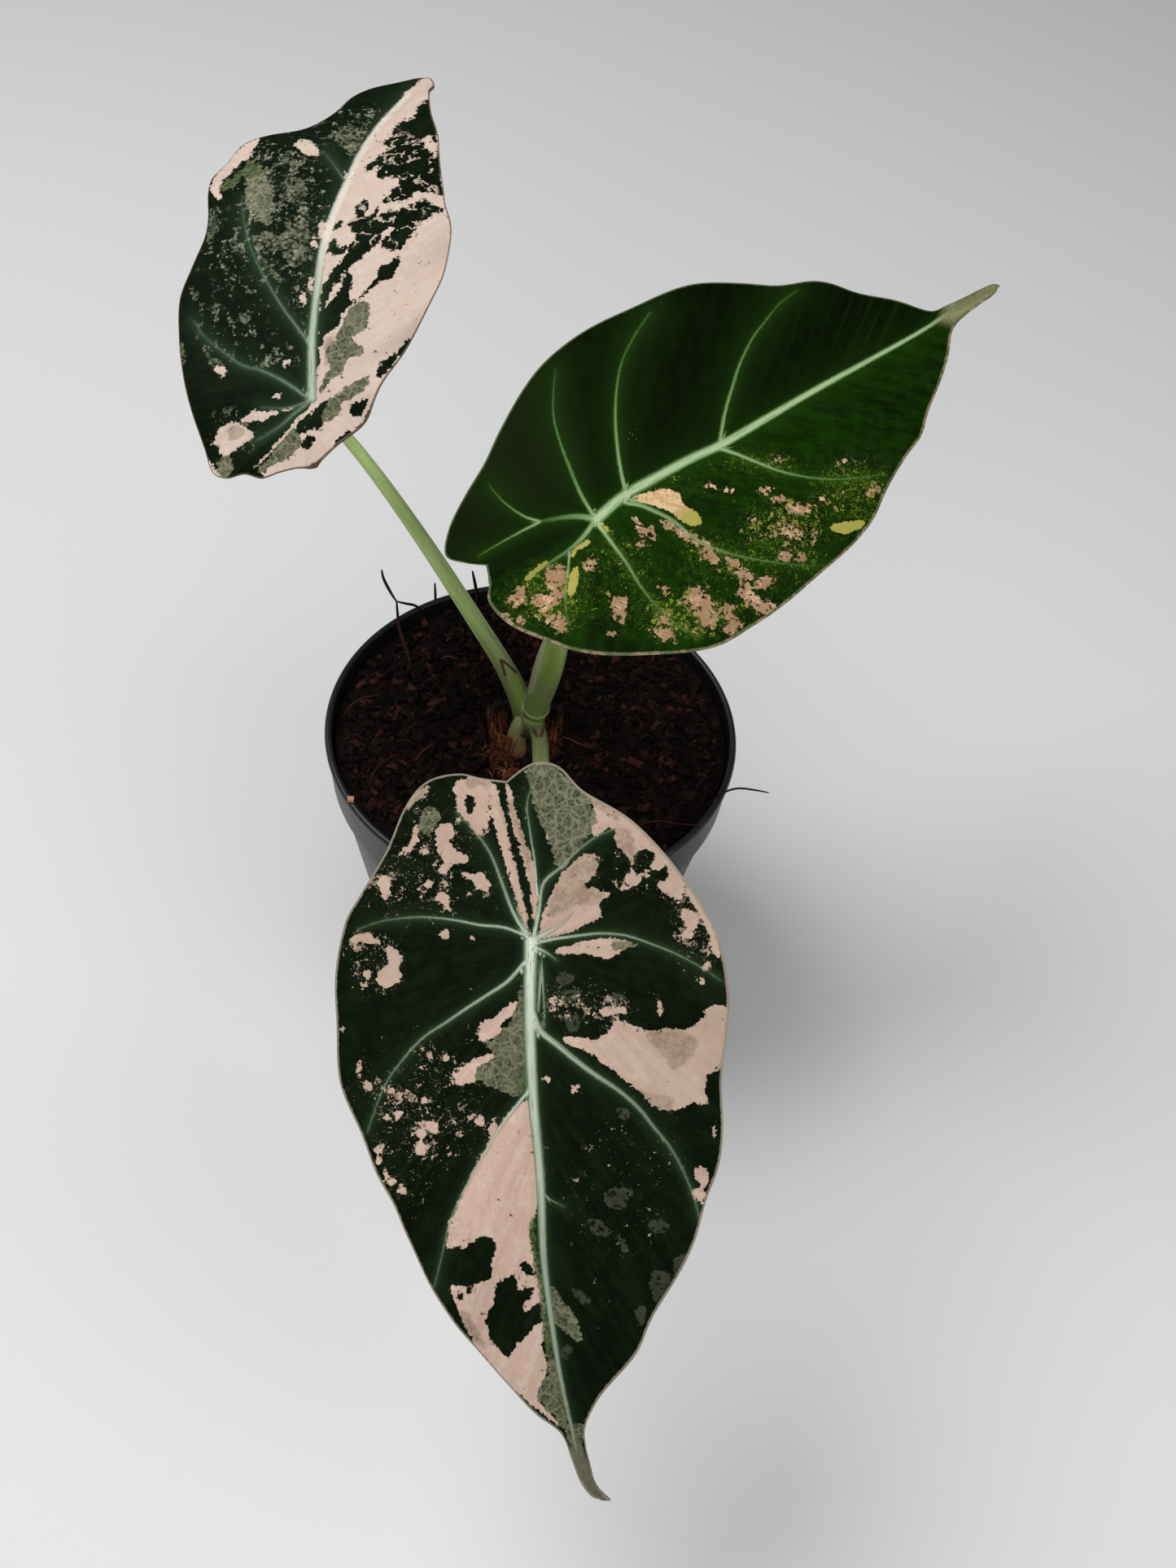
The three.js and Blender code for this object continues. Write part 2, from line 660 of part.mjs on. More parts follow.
function chip(random, radius, angle) {
  const long = CHIP_SHORTEST + (CHIP_LONGEST - CHIP_SHORTEST) * random();
  const wide = long * (CHIP_WIDTH_SHARE + CHIP_WIDTH_SPREAD * random());
  const high = long * (CHIP_HEIGHT_SHARE + CHIP_HEIGHT_SPREAD * random());
  const shape = new THREE.BoxGeometry(long, wide, high);
  const sunk = CHIP_LIFT * long - CHIP_SINK * random();
  const position = shape.attributes.position;
  const corner = new Map();
  for (let i = 0; i < position.count; i += 1) {
    const key = [position.getX(i), position.getY(i), position.getZ(i)].map((v) => v.toFixed(3)).join();
    if (!corner.has(key)) {
      corner.set(key, CORNER_SHIFTS.map(([least, spread]) => least + spread * random()));
    }
    const scale = corner.get(key);
    position.setXYZ(i, position.getX(i) * scale[0], position.getY(i) * scale[1], position.getZ(i) * scale[2]);
  }
  return shape
    .rotateX(CHIP_TILT * (2 * random() - 1))
    .rotateY(CHIP_TILT * (2 * random() - 1))
    .rotateZ(2 * Math.PI * random())
    .translate(radius * Math.cos(angle), radius * Math.sin(angle), moundZ(radius) + sunk);
}

// Loose coco strands: routes in mm, rooted in the mix
const STRANDS = [
  [[-40, 26, 86.5], [-42, 31, 90], [-36, 36, 92], [-39, 45, 95]],
  [[-33, 12, 87.5], [-27, 20, 91], [-25, 29, 92], [-27, 34, 93.4]],
  [[-18, 24, 87.5], [-14, 30, 91.5], [-13, 37, 94]],
  [[-46, -6, 87.5], [-37, -8, 90.7], [-29, -3, 90.1]],
  [[28, 30, 87.9], [36, 26, 91.3], [44, 25, 88.5]],
];

function pottingMix() {
  const random = randomStream(SEED);
  const rings = [];
  const foot = FLOOR_THICKNESS + SOIL_GAP;
  const sides = SOIL_SPOKES;
  const stepLevels = [COLLAR_Z - SOIL_STEP_BELOW, COLLAR_Z + SOIL_STEP_ABOVE];
  const wallLevels = [foot, POT_HEIGHT / 2, ...stepLevels, SOIL_EDGE_Z];
  for (const z of wallLevels) {
    const radius = insideRadius(z) - SOIL_WALL_GAP;
    rings.push(Array.from({ length: sides }, (_, j) => {
      const angle = (2 * Math.PI * j) / sides;
      return new THREE.Vector3(radius * Math.cos(angle), radius * Math.sin(angle), z);
    }));
  }
  const edge = insideRadius(SOIL_EDGE_Z) - SOIL_WALL_GAP;
  for (let i = 1; i < SOIL_RINGS; i += 1) {
    const radius = edge * (1 - i / SOIL_RINGS);
    rings.push(Array.from({ length: sides }, (_, j) => {
      const angle = (2 * Math.PI * j) / sides;
      const lift = 2 * SOIL_ROUGHNESS * (random() - 0.5);
      return new THREE.Vector3(radius * Math.cos(angle), radius * Math.sin(angle), moundZ(radius) + lift);
    }));
  }
  let body = solid(skinRings(rings));
  for (let i = 0; i < CHIP_COUNT; i += 1) {
    const share = Math.sqrt((i + 0.5) / CHIP_COUNT);
    const radius = CHIPS_INNER_RADIUS + (edge - CHIPS_EDGE_MARGIN - CHIPS_INNER_RADIUS) * share;
    const angle = i * GOLDEN_ANGLE + CHIP_STRAY * random();
    body = body.add(solid(chip(random, radius, angle)));
  }
  for (const route of STRANDS) {
    body = body.add(solid(skinRings(routeRings(route, STRAND_RINGS, STRAND_SIDES, () => STRAND_RADIUS))));
  }
  return body.subtract(crownSocket());
}

// The plain hole that the crown and the petioles' feet stand in
function crownSocket() {
  const profile = [
    [0, CROWN_BOTTOM_Z - SOIL_GAP],
    [CUFF_INNER + CUFF_THICKNESS + SOIL_GAP, CROWN_BOTTOM_Z - SOIL_GAP],
    [CUFF_INNER + CUFF_THICKNESS + SOCKET_MIDDLE_GAP, CUFF_MIDDLE_Z],
    [CUFF_INNER + CUFF_THICKNESS + SOCKET_TOP_GAP, SOCKET_TOP_Z],
    [0, SOCKET_TOP_Z],
  ];
  return solid(new THREE.LatheGeometry(profile.map(([r, z]) => new THREE.Vector2(r, z)), SOCKET_SEGMENTS)
    .rotateX(Math.PI / 2)
    .translate(CUFF_X, CUFF_Y, 0));
}

const LOOKS = {
  pot: { color: 0x141516, roughness: 0.5, metalness: 0 },
  mix: { color: 0x3a2018, roughness: 1, metalness: 0 },
  sheath: { color: 0x6a4526, roughness: 0.95, metalness: 0 },
  petiole: { color: 0xa9bf8a, roughness: 0.55, metalness: 0 },
  blade: { color: 0x1c3a24, roughness: 0.8, metalness: 0 },
};

function piece(name, look, body) {
  const mesh = new THREE.Mesh(geometryOf(body), new THREE.MeshStandardMaterial(LOOKS[look]));
  mesh.name = name;
  return mesh;
}

const plant = new THREE.Group();
plant.add(piece('pot', 'pot', pot()));
plant.add(piece('potting_mix', 'mix', pottingMix()));
plant.add(piece('crown_and_petioles', 'petiole', petiolesAndCrown()));
plant.add(piece('sheath_remains', 'sheath', sheathRemains()));
plant.add(piece('blade_front', 'blade', blade(LEAVES.front)));
plant.add(piece('blade_right', 'blade', blade(LEAVES.right)));
plant.add(piece('blade_left', 'blade', blade(LEAVES.left)));

export default plant;
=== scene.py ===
"""Pink variegated black velvet alocasia in a nursery pot: the finished look round the CAD frame.

Lengths are in millimetres until a mesh is made, then in metres. +Z is up, -Y is towards the camera.
The leaves' markings are drawn as outlines in the photograph's pixels (1445 by 1927), and
every point of a blade is carried into those pixels by the same camera that takes the picture.
"""
import math

import bpy
import numpy as np
from mathutils import Matrix, Vector
from mathutils.geometry import delaunay_2d_cdt


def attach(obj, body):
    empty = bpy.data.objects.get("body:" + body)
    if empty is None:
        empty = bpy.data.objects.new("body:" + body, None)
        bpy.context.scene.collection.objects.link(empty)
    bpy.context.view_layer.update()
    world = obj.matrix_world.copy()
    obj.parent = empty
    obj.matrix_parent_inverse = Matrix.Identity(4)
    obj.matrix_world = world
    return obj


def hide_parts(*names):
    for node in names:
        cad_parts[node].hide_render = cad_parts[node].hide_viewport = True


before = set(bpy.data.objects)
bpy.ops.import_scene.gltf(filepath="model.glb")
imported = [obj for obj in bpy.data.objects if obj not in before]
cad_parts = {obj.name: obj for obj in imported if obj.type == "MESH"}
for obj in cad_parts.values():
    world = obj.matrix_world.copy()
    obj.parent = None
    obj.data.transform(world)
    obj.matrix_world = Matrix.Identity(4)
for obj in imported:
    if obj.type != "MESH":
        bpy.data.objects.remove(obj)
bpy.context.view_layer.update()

MM = 0.001
PHOTO_WIDTH, PHOTO_HEIGHT = 1445, 1927
FOCAL_PX = 2700.0
SENSOR_MM = 36.0
CAMERA_MM = np.array([0.0, -410.0, 548.0])
CAMERA_YAW = math.radians(2.4)
CAMERA_PITCH = math.radians(49.4)
CAMERA_ROLL = math.radians(5.5)
PX_PER_MM = 5.0


# Camera
def camera_axes():
    """Forward, right and up of the camera: turned right by the yaw, tipped down, then rolled."""
    ahead = np.array([math.sin(CAMERA_YAW), math.cos(CAMERA_YAW), 0.0])
    level = np.array([math.cos(CAMERA_YAW), -math.sin(CAMERA_YAW), 0.0])
    forward = ahead * math.cos(CAMERA_PITCH) - np.array([0, 0, math.sin(CAMERA_PITCH)])
    above = np.cross(level, forward)
    cos, sin = math.cos(CAMERA_ROLL), math.sin(CAMERA_ROLL)
    return forward, level * cos + above * sin, above * cos - level * sin


def to_photo(points):
    """Photograph pixels (x right, y down) of points in millimetres."""
    forward, right, up = camera_axes()
    away = points - CAMERA_MM
    depth = away @ forward
    x = PHOTO_WIDTH / 2 + FOCAL_PX * (away @ right) / depth
    y = PHOTO_HEIGHT / 2 - FOCAL_PX * (away @ up) / depth
    return np.stack([x, y], -1)


def add_camera():
    forward, right, up = camera_axes()
    data = bpy.data.cameras.new("camera")
    data.sensor_width = SENSOR_MM
    data.lens = FOCAL_PX / PHOTO_HEIGHT * SENSOR_MM
    camera = bpy.data.objects.new("camera", data)
    bpy.context.collection.objects.link(camera)
    turn = Matrix([[right[i], up[i], -forward[i]] for i in range(3)]).to_4x4()
    turn.translation = CAMERA_MM * MM
    camera.matrix_world = turn
    bpy.context.scene.camera = camera


# Shader helpers
class Wire:
    """A value inside a material, which sums, products and comparisons can be written with."""

    def __init__(self, kit, socket):
        self.kit = kit
        self.socket = socket

    def math(self, operation, *others):
        return self.kit.node("ShaderNodeMath", {"operation": operation}, {
            i: other for i, other in enumerate((self, *others))})

    def __add__(self, other):
        return self.math("ADD", other)

    __radd__ = __add__

    def __sub__(self, other):
        return self.math("SUBTRACT", other)

    def __rsub__(self, other):
        return (self * -1) + other

    def __mul__(self, other):
        return self.math("MULTIPLY", other)

    __rmul__ = __mul__

    def __truediv__(self, other):
        return self.math("DIVIDE", other)

    def __pow__(self, other):
        return self.math("POWER", other)

    def most(self, other):
        """The larger of two values."""
        return self.math("MAXIMUM", other)

    def least(self, other):
        """The smaller of two values."""
        return self.math("MINIMUM", other)

    def ramp(self, low, high):
        """0 below low and 1 above high, smooth between."""
        return self.kit.node("ShaderNodeMapRange", {"interpolation_type": "SMOOTHSTEP"}, {
            "Value": self, "From Min": low, "From Max": high})

    def fall(self, reach):
        """1 at no distance, fading away over the reach."""
        return (self * (-1 / reach)).math("EXPONENT")


class Kit:
    """One material's node tree."""

    def __init__(self, name):
        self.material = bpy.data.materials.new(name)
        self.material.use_nodes = True
        self.tree = self.material.node_tree
        self.tree.nodes.clear()
        self.output = self.tree.nodes.new("ShaderNodeOutputMaterial")

    def node(self, kind, settings=None, inputs=None, output=0):
        made = self.tree.nodes.new(kind)
        for key, value in (settings or {}).items():
            setattr(made, key, value)
        for key, value in (inputs or {}).items():
            if isinstance(value, Wire):
                self.tree.links.new(value.socket, made.inputs[key])
            else:
                made.inputs[key].default_value = value
        return Wire(self, made.outputs[output])

    def attribute(self, name):
        return self.node("ShaderNodeAttribute", {"attribute_name": name}, output="Fac")

    def vector(self, x, y, z=0.0):
        return self.node("ShaderNodeCombineXYZ", {}, {"X": x, "Y": y, "Z": z})

    def place(self, stretch=(1, 1, 1)):
        """Object coordinates in millimetres, stretched."""
        where = self.node("ShaderNodeTexCoord", output="Object")
        return self.node("ShaderNodeMapping", {}, {
            "Vector": where, "Scale": tuple(s / MM for s in stretch)})

    def noise(self, scale, detail=3.0, rough=0.55, vector=None, stretch=(1, 1, 1)):
        """Noise from about -0.5 to 0.5, with features about 1/scale mm across."""
        where = vector or self.place(stretch)
        return self.node("ShaderNodeTexNoise", {}, {
            "Vector": where, "Scale": scale, "Detail": detail, "Roughness": rough}) - 0.5

    def warped(self, scale, reach):
        """Object coordinates in millimetres, shaken by noise that reaches about a tenth of the reach."""
        where = self.place()
        shake = self.node("ShaderNodeTexNoise", {}, {
            "Vector": where, "Scale": scale, "Detail": 3.0, "Roughness": 0.6}, output="Color")
        return self.node("ShaderNodeVectorMath", {"operation": "MULTIPLY_ADD"}, {
            0: shake, 1: (reach, reach, reach), 2: where})

    def cracks(self, scale, vector, low, high):
        """1 along the borders between cells about 1/scale mm across, 0 inside them."""
        border = self.node("ShaderNodeTexVoronoi", {"feature": "DISTANCE_TO_EDGE"}, {
            "Vector": vector, "Scale": scale}, output="Distance")
        return 1 - border.ramp(low, high)

    def spots(self, scale, share, vector):
        """Separate specks, one to a cell about 1/scale mm across.

        A share of 1 puts one in every cell, up to 0.46 of a cell in radius. Less leaves fewer and
        smaller ones.
        """
        inputs = {"Vector": vector, "Scale": scale}
        away = self.node("ShaderNodeTexVoronoi", {}, inputs, output="Distance")
        chance = self.node("ShaderNodeSeparateColor", {}, {
            "Color": self.node("ShaderNodeTexVoronoi", {}, inputs, output="Color")}, output="Red")
        return ((chance + share - 1) * 0.46 - away).ramp(0.0, 0.05)

    def mix(self, share, first, second):
        made = self.tree.nodes.new("ShaderNodeMix")
        made.data_type = "RGBA"
        for slot, value in ((0, share), (6, first), (7, second)):
            if isinstance(value, Wire):
                self.tree.links.new(value.socket, made.inputs[slot])
            elif slot:
                made.inputs[slot].default_value = (*value, 1)
            else:
                made.inputs[slot].default_value = value
        return Wire(self, made.outputs[2])

    def bump(self, height, depth_mm, strength):
        return self.node("ShaderNodeBump", {}, {
            "Height": height, "Distance": depth_mm * MM, "Strength": strength}, output="Normal")

    def surface(self, colour, roughness, bump=None, specular=0.5):
        inputs = {"Base Color": colour, "Roughness": roughness, "Specular IOR Level": specular}
        if bump:
            inputs["Normal"] = bump
        shader = self.node("ShaderNodeBsdfPrincipled", {}, inputs)
        self.tree.links.new(shader.socket, self.output.inputs["Surface"])
        return self.material


def srgb(red, green, blue):
    """A colour given as 0 to 255 display values, as linear light."""
    share = np.array([red, green, blue]) / 255
    return tuple(np.where(share < 0.04045, share / 12.92, ((share + 0.055) / 1.055) ** 2.4))


# Mesh helpers
ROUTE_STEPS = 600


def make_mesh(name, points_mm, faces, material, smooth=True, sharp_degrees=None, attributes=None):
    """A mesh object from points in millimetres, with one number for each point per attribute."""
    mesh = bpy.data.meshes.new(name)
    mesh.from_pydata((np.asarray(points_mm) * MM).tolist(), [], faces)
    for key, values in (attributes or {}).items():
        layer = mesh.attributes.new(key, "FLOAT", "POINT")
        layer.data.foreach_set("value", np.asarray(values, dtype=np.float32).ravel())
    mesh.polygons.foreach_set("use_smooth", [smooth] * len(mesh.polygons))
    mesh.materials.append(material)
    mesh.update()
    if sharp_degrees:
        mesh.set_sharp_from_angle(angle=math.radians(sharp_degrees))
    made = bpy.data.objects.new(name, mesh)
    bpy.context.collection.objects.link(made)
    return made


def belongs(piece, slot, *nodes):
    """Lets a piece ride on the root body and hides the solids it is shown in place of; the slot is not
    used.
    """
    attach(piece, "root")
    if nodes:
        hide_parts(*nodes)
    return piece


def join_parts(parts):
    """Points and faces of several parts as one, each given as its own points and faces."""
    points, faces, count = [], [], 0
    for part_points, part_faces in parts:
        points.append(part_points)
        faces += [[count + i for i in face] for face in part_faces]
        count += len(part_points)
    return np.concatenate(points), faces


def random_stream(seed):
    """The same even draws from 0 to 1 as the solids use."""
    state = seed

    def draw():
        nonlocal state
        state = (state * 1664525 + 1013904223) % 4294967296
        return state / 4294967296

    return draw


def draws(random, count, low, more, power=1):
    """Random numbers from low to low + more, crowded towards low by a power over 1."""
    return low + more * random.random(count) ** power


def grid_faces(rows, columns, wrap=False):
    """Quads of a grid of rows by columns, counted along the columns first."""
    last = columns if wrap else columns - 1
    i, j = np.meshgrid(np.arange(rows - 1), np.arange(last), indexing="ij")
    k = (j + 1) % columns
    quads = np.stack([i * columns + j, i * columns + k, (i + 1) * columns + k, (i + 1) * columns + j], -1)
    return quads.reshape(-1, 4)


def unit(vector):
    vector = np.asarray(vector, float)
    return vector / np.linalg.norm(vector, axis=-1, keepdims=True)


def turns(count):
    """Angles of points evenly spaced round a circle."""
    return np.arange(count) * 2 * math.pi / count


def oval(middle, radius, depth_share, angle, z):
    """Points at some angles of a level oval, whose depth along y is a share of its width."""
    x = middle[0] + radius * np.cos(angle)
    y = middle[1] + depth_share * radius * np.sin(angle)
    return np.stack([x, y, z + 0 * x], -1)


def bell(distance, reach):
    """1 at no distance, falling off as a bell curve."""
    return np.exp(-(distance / reach) ** 2)


def catmull(p0, p1, p2, p3, t):
    """The Catmull-Rom curve from p1 to p2 as t goes from 0 to 1."""
    return 0.5 * (2 * p1 + (p2 - p0) * t + (2 * p0 - 5 * p1 + 4 * p2 - p3) * t ** 2
                  + (3 * p1 - p0 - 3 * p2 + p3) * t ** 3)


def smooth_route(points, shares):
    """Places and directions at given shares of the length of a smooth curve through a few points.

    It is a centripetal Catmull-Rom curve: its knots are spaced by the roots of the distances.
    """
    points = np.asarray(points, float)
    steps = np.sqrt(np.linalg.norm(np.diff(points, axis=0), axis=1))
    knots = np.concatenate([[0], np.cumsum(steps)])
    before = points[0] * 2 - points[1]
    after = points[-1] * 2 - points[-2]
    full = np.vstack([before, points, after])
    full_knots = np.concatenate([[-steps[0]], knots, [knots[-1] + steps[-1]]])
    fine = np.linspace(0, knots[-1], ROUTE_STEPS)
    place = np.clip(np.searchsorted(knots, fine, side="right") - 1, 0, len(points) - 2)

    def between(a, b, ta, tb):
        share = ((fine - ta) / (tb - ta))[:, None]
        return a * (1 - share) + b * share

    p = [full[place + k] for k in range(4)]
    t = [full_knots[place + k] for k in range(4)]
    a1, a2, a3 = (between(p[k], p[k + 1], t[k], t[k + 1]) for k in range(3))
    b1, b2 = between(a1, a2, t[0], t[2]), between(a2, a3, t[1], t[3])
    curve = between(b1, b2, t[1], t[2])
    run = np.concatenate([[0], np.cumsum(np.linalg.norm(np.diff(curve, axis=0), axis=1))])
    at = np.stack([np.interp(shares * run[-1], run, column) for column in curve.T], -1)
    along = unit(np.gradient(curve, axis=0))
    heading = np.stack([np.interp(shares * run[-1], run, column) for column in along.T], -1)
    return at, unit(heading)


def tube(points, sides, radius, shares):
    """Rings about a route; radius(share, angle) in mm. Returns rings as (ring, side, xyz)."""
    at, along = smooth_route(points, shares)
    across = unit(np.array([1.0, 0, 0]) - along * along[:, :1])
    up = np.cross(along, across)
    angle = turns(sides)
    size = radius(shares[:, None], angle[None, :])
    return (at[:, None] + across[:, None] * (size * np.cos(angle))[..., None]
            + up[:, None] * (size * np.sin(angle))[..., None])


def closed_rings(rings):
    """Points and faces of a tube with both ends closed."""
    count, sides = rings.shape[:2]
    points = rings.reshape(-1, 3)
    faces = grid_faces(count, sides, wrap=True).tolist()
    faces.append(list(range(sides))[::-1])
    faces.append(list(range((count - 1) * sides, count * sides)))
    return points, faces


# Blades: the same surface as the solids, finely divided
BLADE_THICKNESS = 0.8
MIDRIB_DEPTH = 2.2
SIDE_VEIN_DEPTH = 0.9
WAVE_STARTS_OVER = 3
WAVE_ENDS_OVER = 8
WAVE_POWER = 2.4
FAN_ROWS = 7
BLADE_ROWS = 380
BLADE_HALF_COLUMNS = 56
COLUMN_POWER = 0.9
QUILT_HEIGHT = 0.35
QUILT_REACH = 5.0
GROOVE_DEPTH = 0.28
GROOVE_REACH = 1.1
MARGIN_FADE = 4.0
UPPER_SINK = 0.1
MIDRIB_REACH = 1.5
MIDRIB_THINNING = 0.8
SIDE_VEIN_REACH = 0.8
SIDE_VEIN_THINNING = 0.75
BLADE_SHARP_DEGREES = 60

# Rows run from the midrib at row[0] to one point on each margin, as (along, across) in mm.
LEAVES = {
    "front": {
        "attach": (3.4, -116.2, 150), "u": (0.04, -0.85, -0.53), "n": (0, -0.53, 0.85), "droop_tip": 0.003,
        "droop_back": 0.003, "fold": 0.1, "side_curl": 0.006, "bend": -7.36e-06, "bend_from": -8,
        "bend_power": 3, "wave": 1.3, "wave_period": 3.3, "wave_phase": (0.4, 2.1),
        "rows": [
            (0, -36, 7, -36, 7), (0, -40.5, 1, -36.5, 12), (0, -40, -5, -37.5, 18), (0, -34, -11, -35, 25),
            (0, -27, -22, -29, 30), (0, -16, -33, -19, 34), (0, -4, -41, -9, 39), (0, 8, -43.8, -2, 42.5),
            (1, 19, -44.2, 9, 44.5), (2, 30, -43.4, 21, 43.3), (4, 41, -43.4, 33, 42),
            (6, 50, -42.5, 43.5, 37.7), (11, 57, -40.6, 52, 34), (18, 64, -38.5, 59, 29.5),
            (25, 71, -35.5, 67, 26.3), (33, 78, -32.3, 76.5, 21.8), (43, 85, -28.4, 83.5, 16.8),
            (55, 91.5, -25.4, 89.5, 12.3), (68, 98, -21, 95.5, 7.5), (82, 104, -17, 101.5, 1.6),
            (95, 109.5, -14.6, 107, -3.6), (106, 115, -14.7, 112, -9.1), (115, 120, -15.8, 118, -11.6),
            (122, 124.5, -17.2, 123.5, -13.8), (126, 126.6, -19.2, 127.4, -16.8),
            (128.1, 128.1, -20.8, 128.1, -20.8)],
    },
    "right": {
        "attach": (12.7, -19.9, 190), "u": (0.813, 0.52, 0.258), "n": (0.1, -0.565, 0.819),
        "droop_tip": 0.004, "droop_back": 0.003, "fold": 0.12, "side_curl": 0.006, "bend": -0.00228,
        "bend_from": -10, "bend_power": 1.5, "wave": 1.2, "wave_period": 3.7, "wave_phase": (1.2, 0.2),
        "rows": [
            (0, -29, -4, -29, -4), (0, -33, -7, -30.5, 0), (0, -36, -11, -33, 4), (0, -32, -16, -31.5, 11),
            (0, -25, -20.5, -27, 18), (0, -17, -25, -20, 26), (0, -9, -30.5, -9, 33), (0, 1, -36, 7, 40.5),
            (1, 11, -39.5, 19, 41), (3, 24, -41.5, 30, 40.3), (7, 38, -40.8, 41, 38.7),
            (12, 48, -39.4, 49, 37.2), (18, 57, -36.9, 56, 35.2), (26, 66, -33.4, 63, 32.8),
            (36, 74, -28.7, 71, 28.2), (47, 82, -25.8, 78.5, 24.2), (58, 89, -22.4, 86, 21.3),
            (70, 95.5, -18, 93, 17.2), (83, 102, -13.3, 100.5, 12.6), (95, 108.5, -8.4, 107.5, 7.5),
            (107, 114.5, -6, 114, 2.5), (116, 120.5, -5.8, 119.5, -0.1), (124, 127.5, -5.7, 125.5, -1.4),
            (132, 135, -5.9, 133.5, -2.4), (139, 141.5, -5.9, 141, -3.3), (144.5, 144.5, -5, 144.5, -5)],
    },
    "left": {
        "attach": (-57.1, -3.3, 207), "u": (-0.08, 0.85, 0.52), "n": (-0.09, -0.52, 0.85),
        "droop_tip": 0.007, "droop_back": 0.003, "fold": 0.12, "side_curl": 0.01, "bend": 0.0259,
        "bend_from": 22, "bend_power": 1.5, "wave": 1.0, "wave_period": 3.5, "wave_phase": (0.9, 2.6),
        "rows": [
            (0, -17, -4, -17, -4), (0, -18, -8, -16.5, -0.5), (0, -19, -12, -14.5, 3),
            (0, -18, -16, -12, 6.5), (0, -19, -20, -9, 10), (0, -17, -24, -5.5, 13.3),
            (0, -10.5, -26.2, -1, 15.4), (0, -2, -28.7, 4, 17.8), (1, 8, -31.2, 10.5, 21.8),
            (2, 17, -33, 17, 25.4), (5, 27, -33, 24, 28.6), (9, 36, -30, 31, 31.1),
            (14, 44.5, -28.5, 38, 32.5), (20, 53, -28, 45, 33), (28, 61, -28.2, 52, 31.5),
            (37, 68.5, -27.6, 60, 30.6), (47, 75, -25.8, 68, 29.5), (58, 79.8, -22.6, 76, 28.8),
            (69, 81.4, -15.5, 84, 27.3), (79, 84.2, -6.5, 91, 25.9), (88, 91.5, 0.8, 97, 25.2),
            (96, 98.5, 5.1, 102, 25), (103, 105, 10.8, 106.5, 25.6), (108, 109.5, 16.4, 109.5, 25),
            (111, 111.6, 20, 111.6, 23.6), (112.6, 112.6, 22, 112.6, 22)],
    },
}

# Where each leaf is veined, pink, dark or netted, in the photograph's pixels. A vein is (half width
# at its start, at its end, line). An outline is rounded through its corners. A dot is an oval, (x, y,
# half width, half height), and a patch of flecks the same with how thickly they are strewn, 0 to 1.
# The dark outlines are cut out of the pink ones, and the pink_again ones lie over both.
MARKINGS = {leaf: {} for leaf in LEAVES}
FRONT, RIGHT, LEFT = MARKINGS.values()
FRONT["veins"] = {
    "midrib": (9, 2.2, [(652, 1157), (651, 1260), (655, 1350), (664, 1450), (668, 1547), (676, 1613),
        (690, 1700), (702, 1753), (712, 1800)]),
    "up_right_inner": (3.2, 1.2, [(656, 1150), (662, 1120), (668, 1085), (690, 1065), (710, 1045),
        (735, 1027), (758, 1018)]),
    "up_right_outer": (1.8, 0.9, [(660, 1100), (657, 1060), (651, 1020), (648, 985), (660, 955)]),
    "up_left": (3, 1.3, [(650, 1155), (630, 1120), (615, 1080), (603, 1050), (590, 1030), (575, 1012),
        (563, 1000)]),
    "left_upper": (2.6, 0.8, [(650, 1152), (620, 1140), (590, 1137), (560, 1131), (520, 1127), (490, 1129),
        (465, 1133), (440, 1142)]),
    "right_upper": (2.6, 0.8, [(655, 1160), (680, 1154), (710, 1150), (740, 1147), (770, 1150), (800, 1160),
        (830, 1172), (860, 1188), (885, 1205)]),
    "left_middle": (3, 0.9, [(648, 1178), (625, 1205), (600, 1222), (575, 1238), (550, 1255), (520, 1275),
        (495, 1302), (475, 1330), (462, 1360), (452, 1390)]),
    "right_middle": (4.6, 1.1, [(655, 1245), (664, 1268), (680, 1280), (700, 1297), (730, 1320),
        (760, 1340), (785, 1362), (803, 1385), (822, 1408), (840, 1440), (852, 1470), (860, 1500)]),
    "left_lower": (2.8, 0.9, [(650, 1340), (638, 1355), (618, 1380), (597, 1415), (577, 1450), (563, 1478),
        (552, 1503), (546, 1530), (540, 1555), (534, 1580)]),
    "right_lower": (1.6, 0.6, [(664, 1462), (676, 1474), (692, 1482)]),
    "root_right_upper": (4.6, 1.4, [(654, 1156), (672, 1146), (690, 1136), (704, 1122)]),
    "root_right_lower": (4.0, 0.7, [(656, 1164), (670, 1170), (684, 1180)]),
    "root_left": (2, 0.8, [(650, 1150), (640, 1128), (634, 1102)]),
    "root_strand": (2.2, 1, [(663, 1166), (666, 1196), (668, 1228), (670, 1262)]),
}
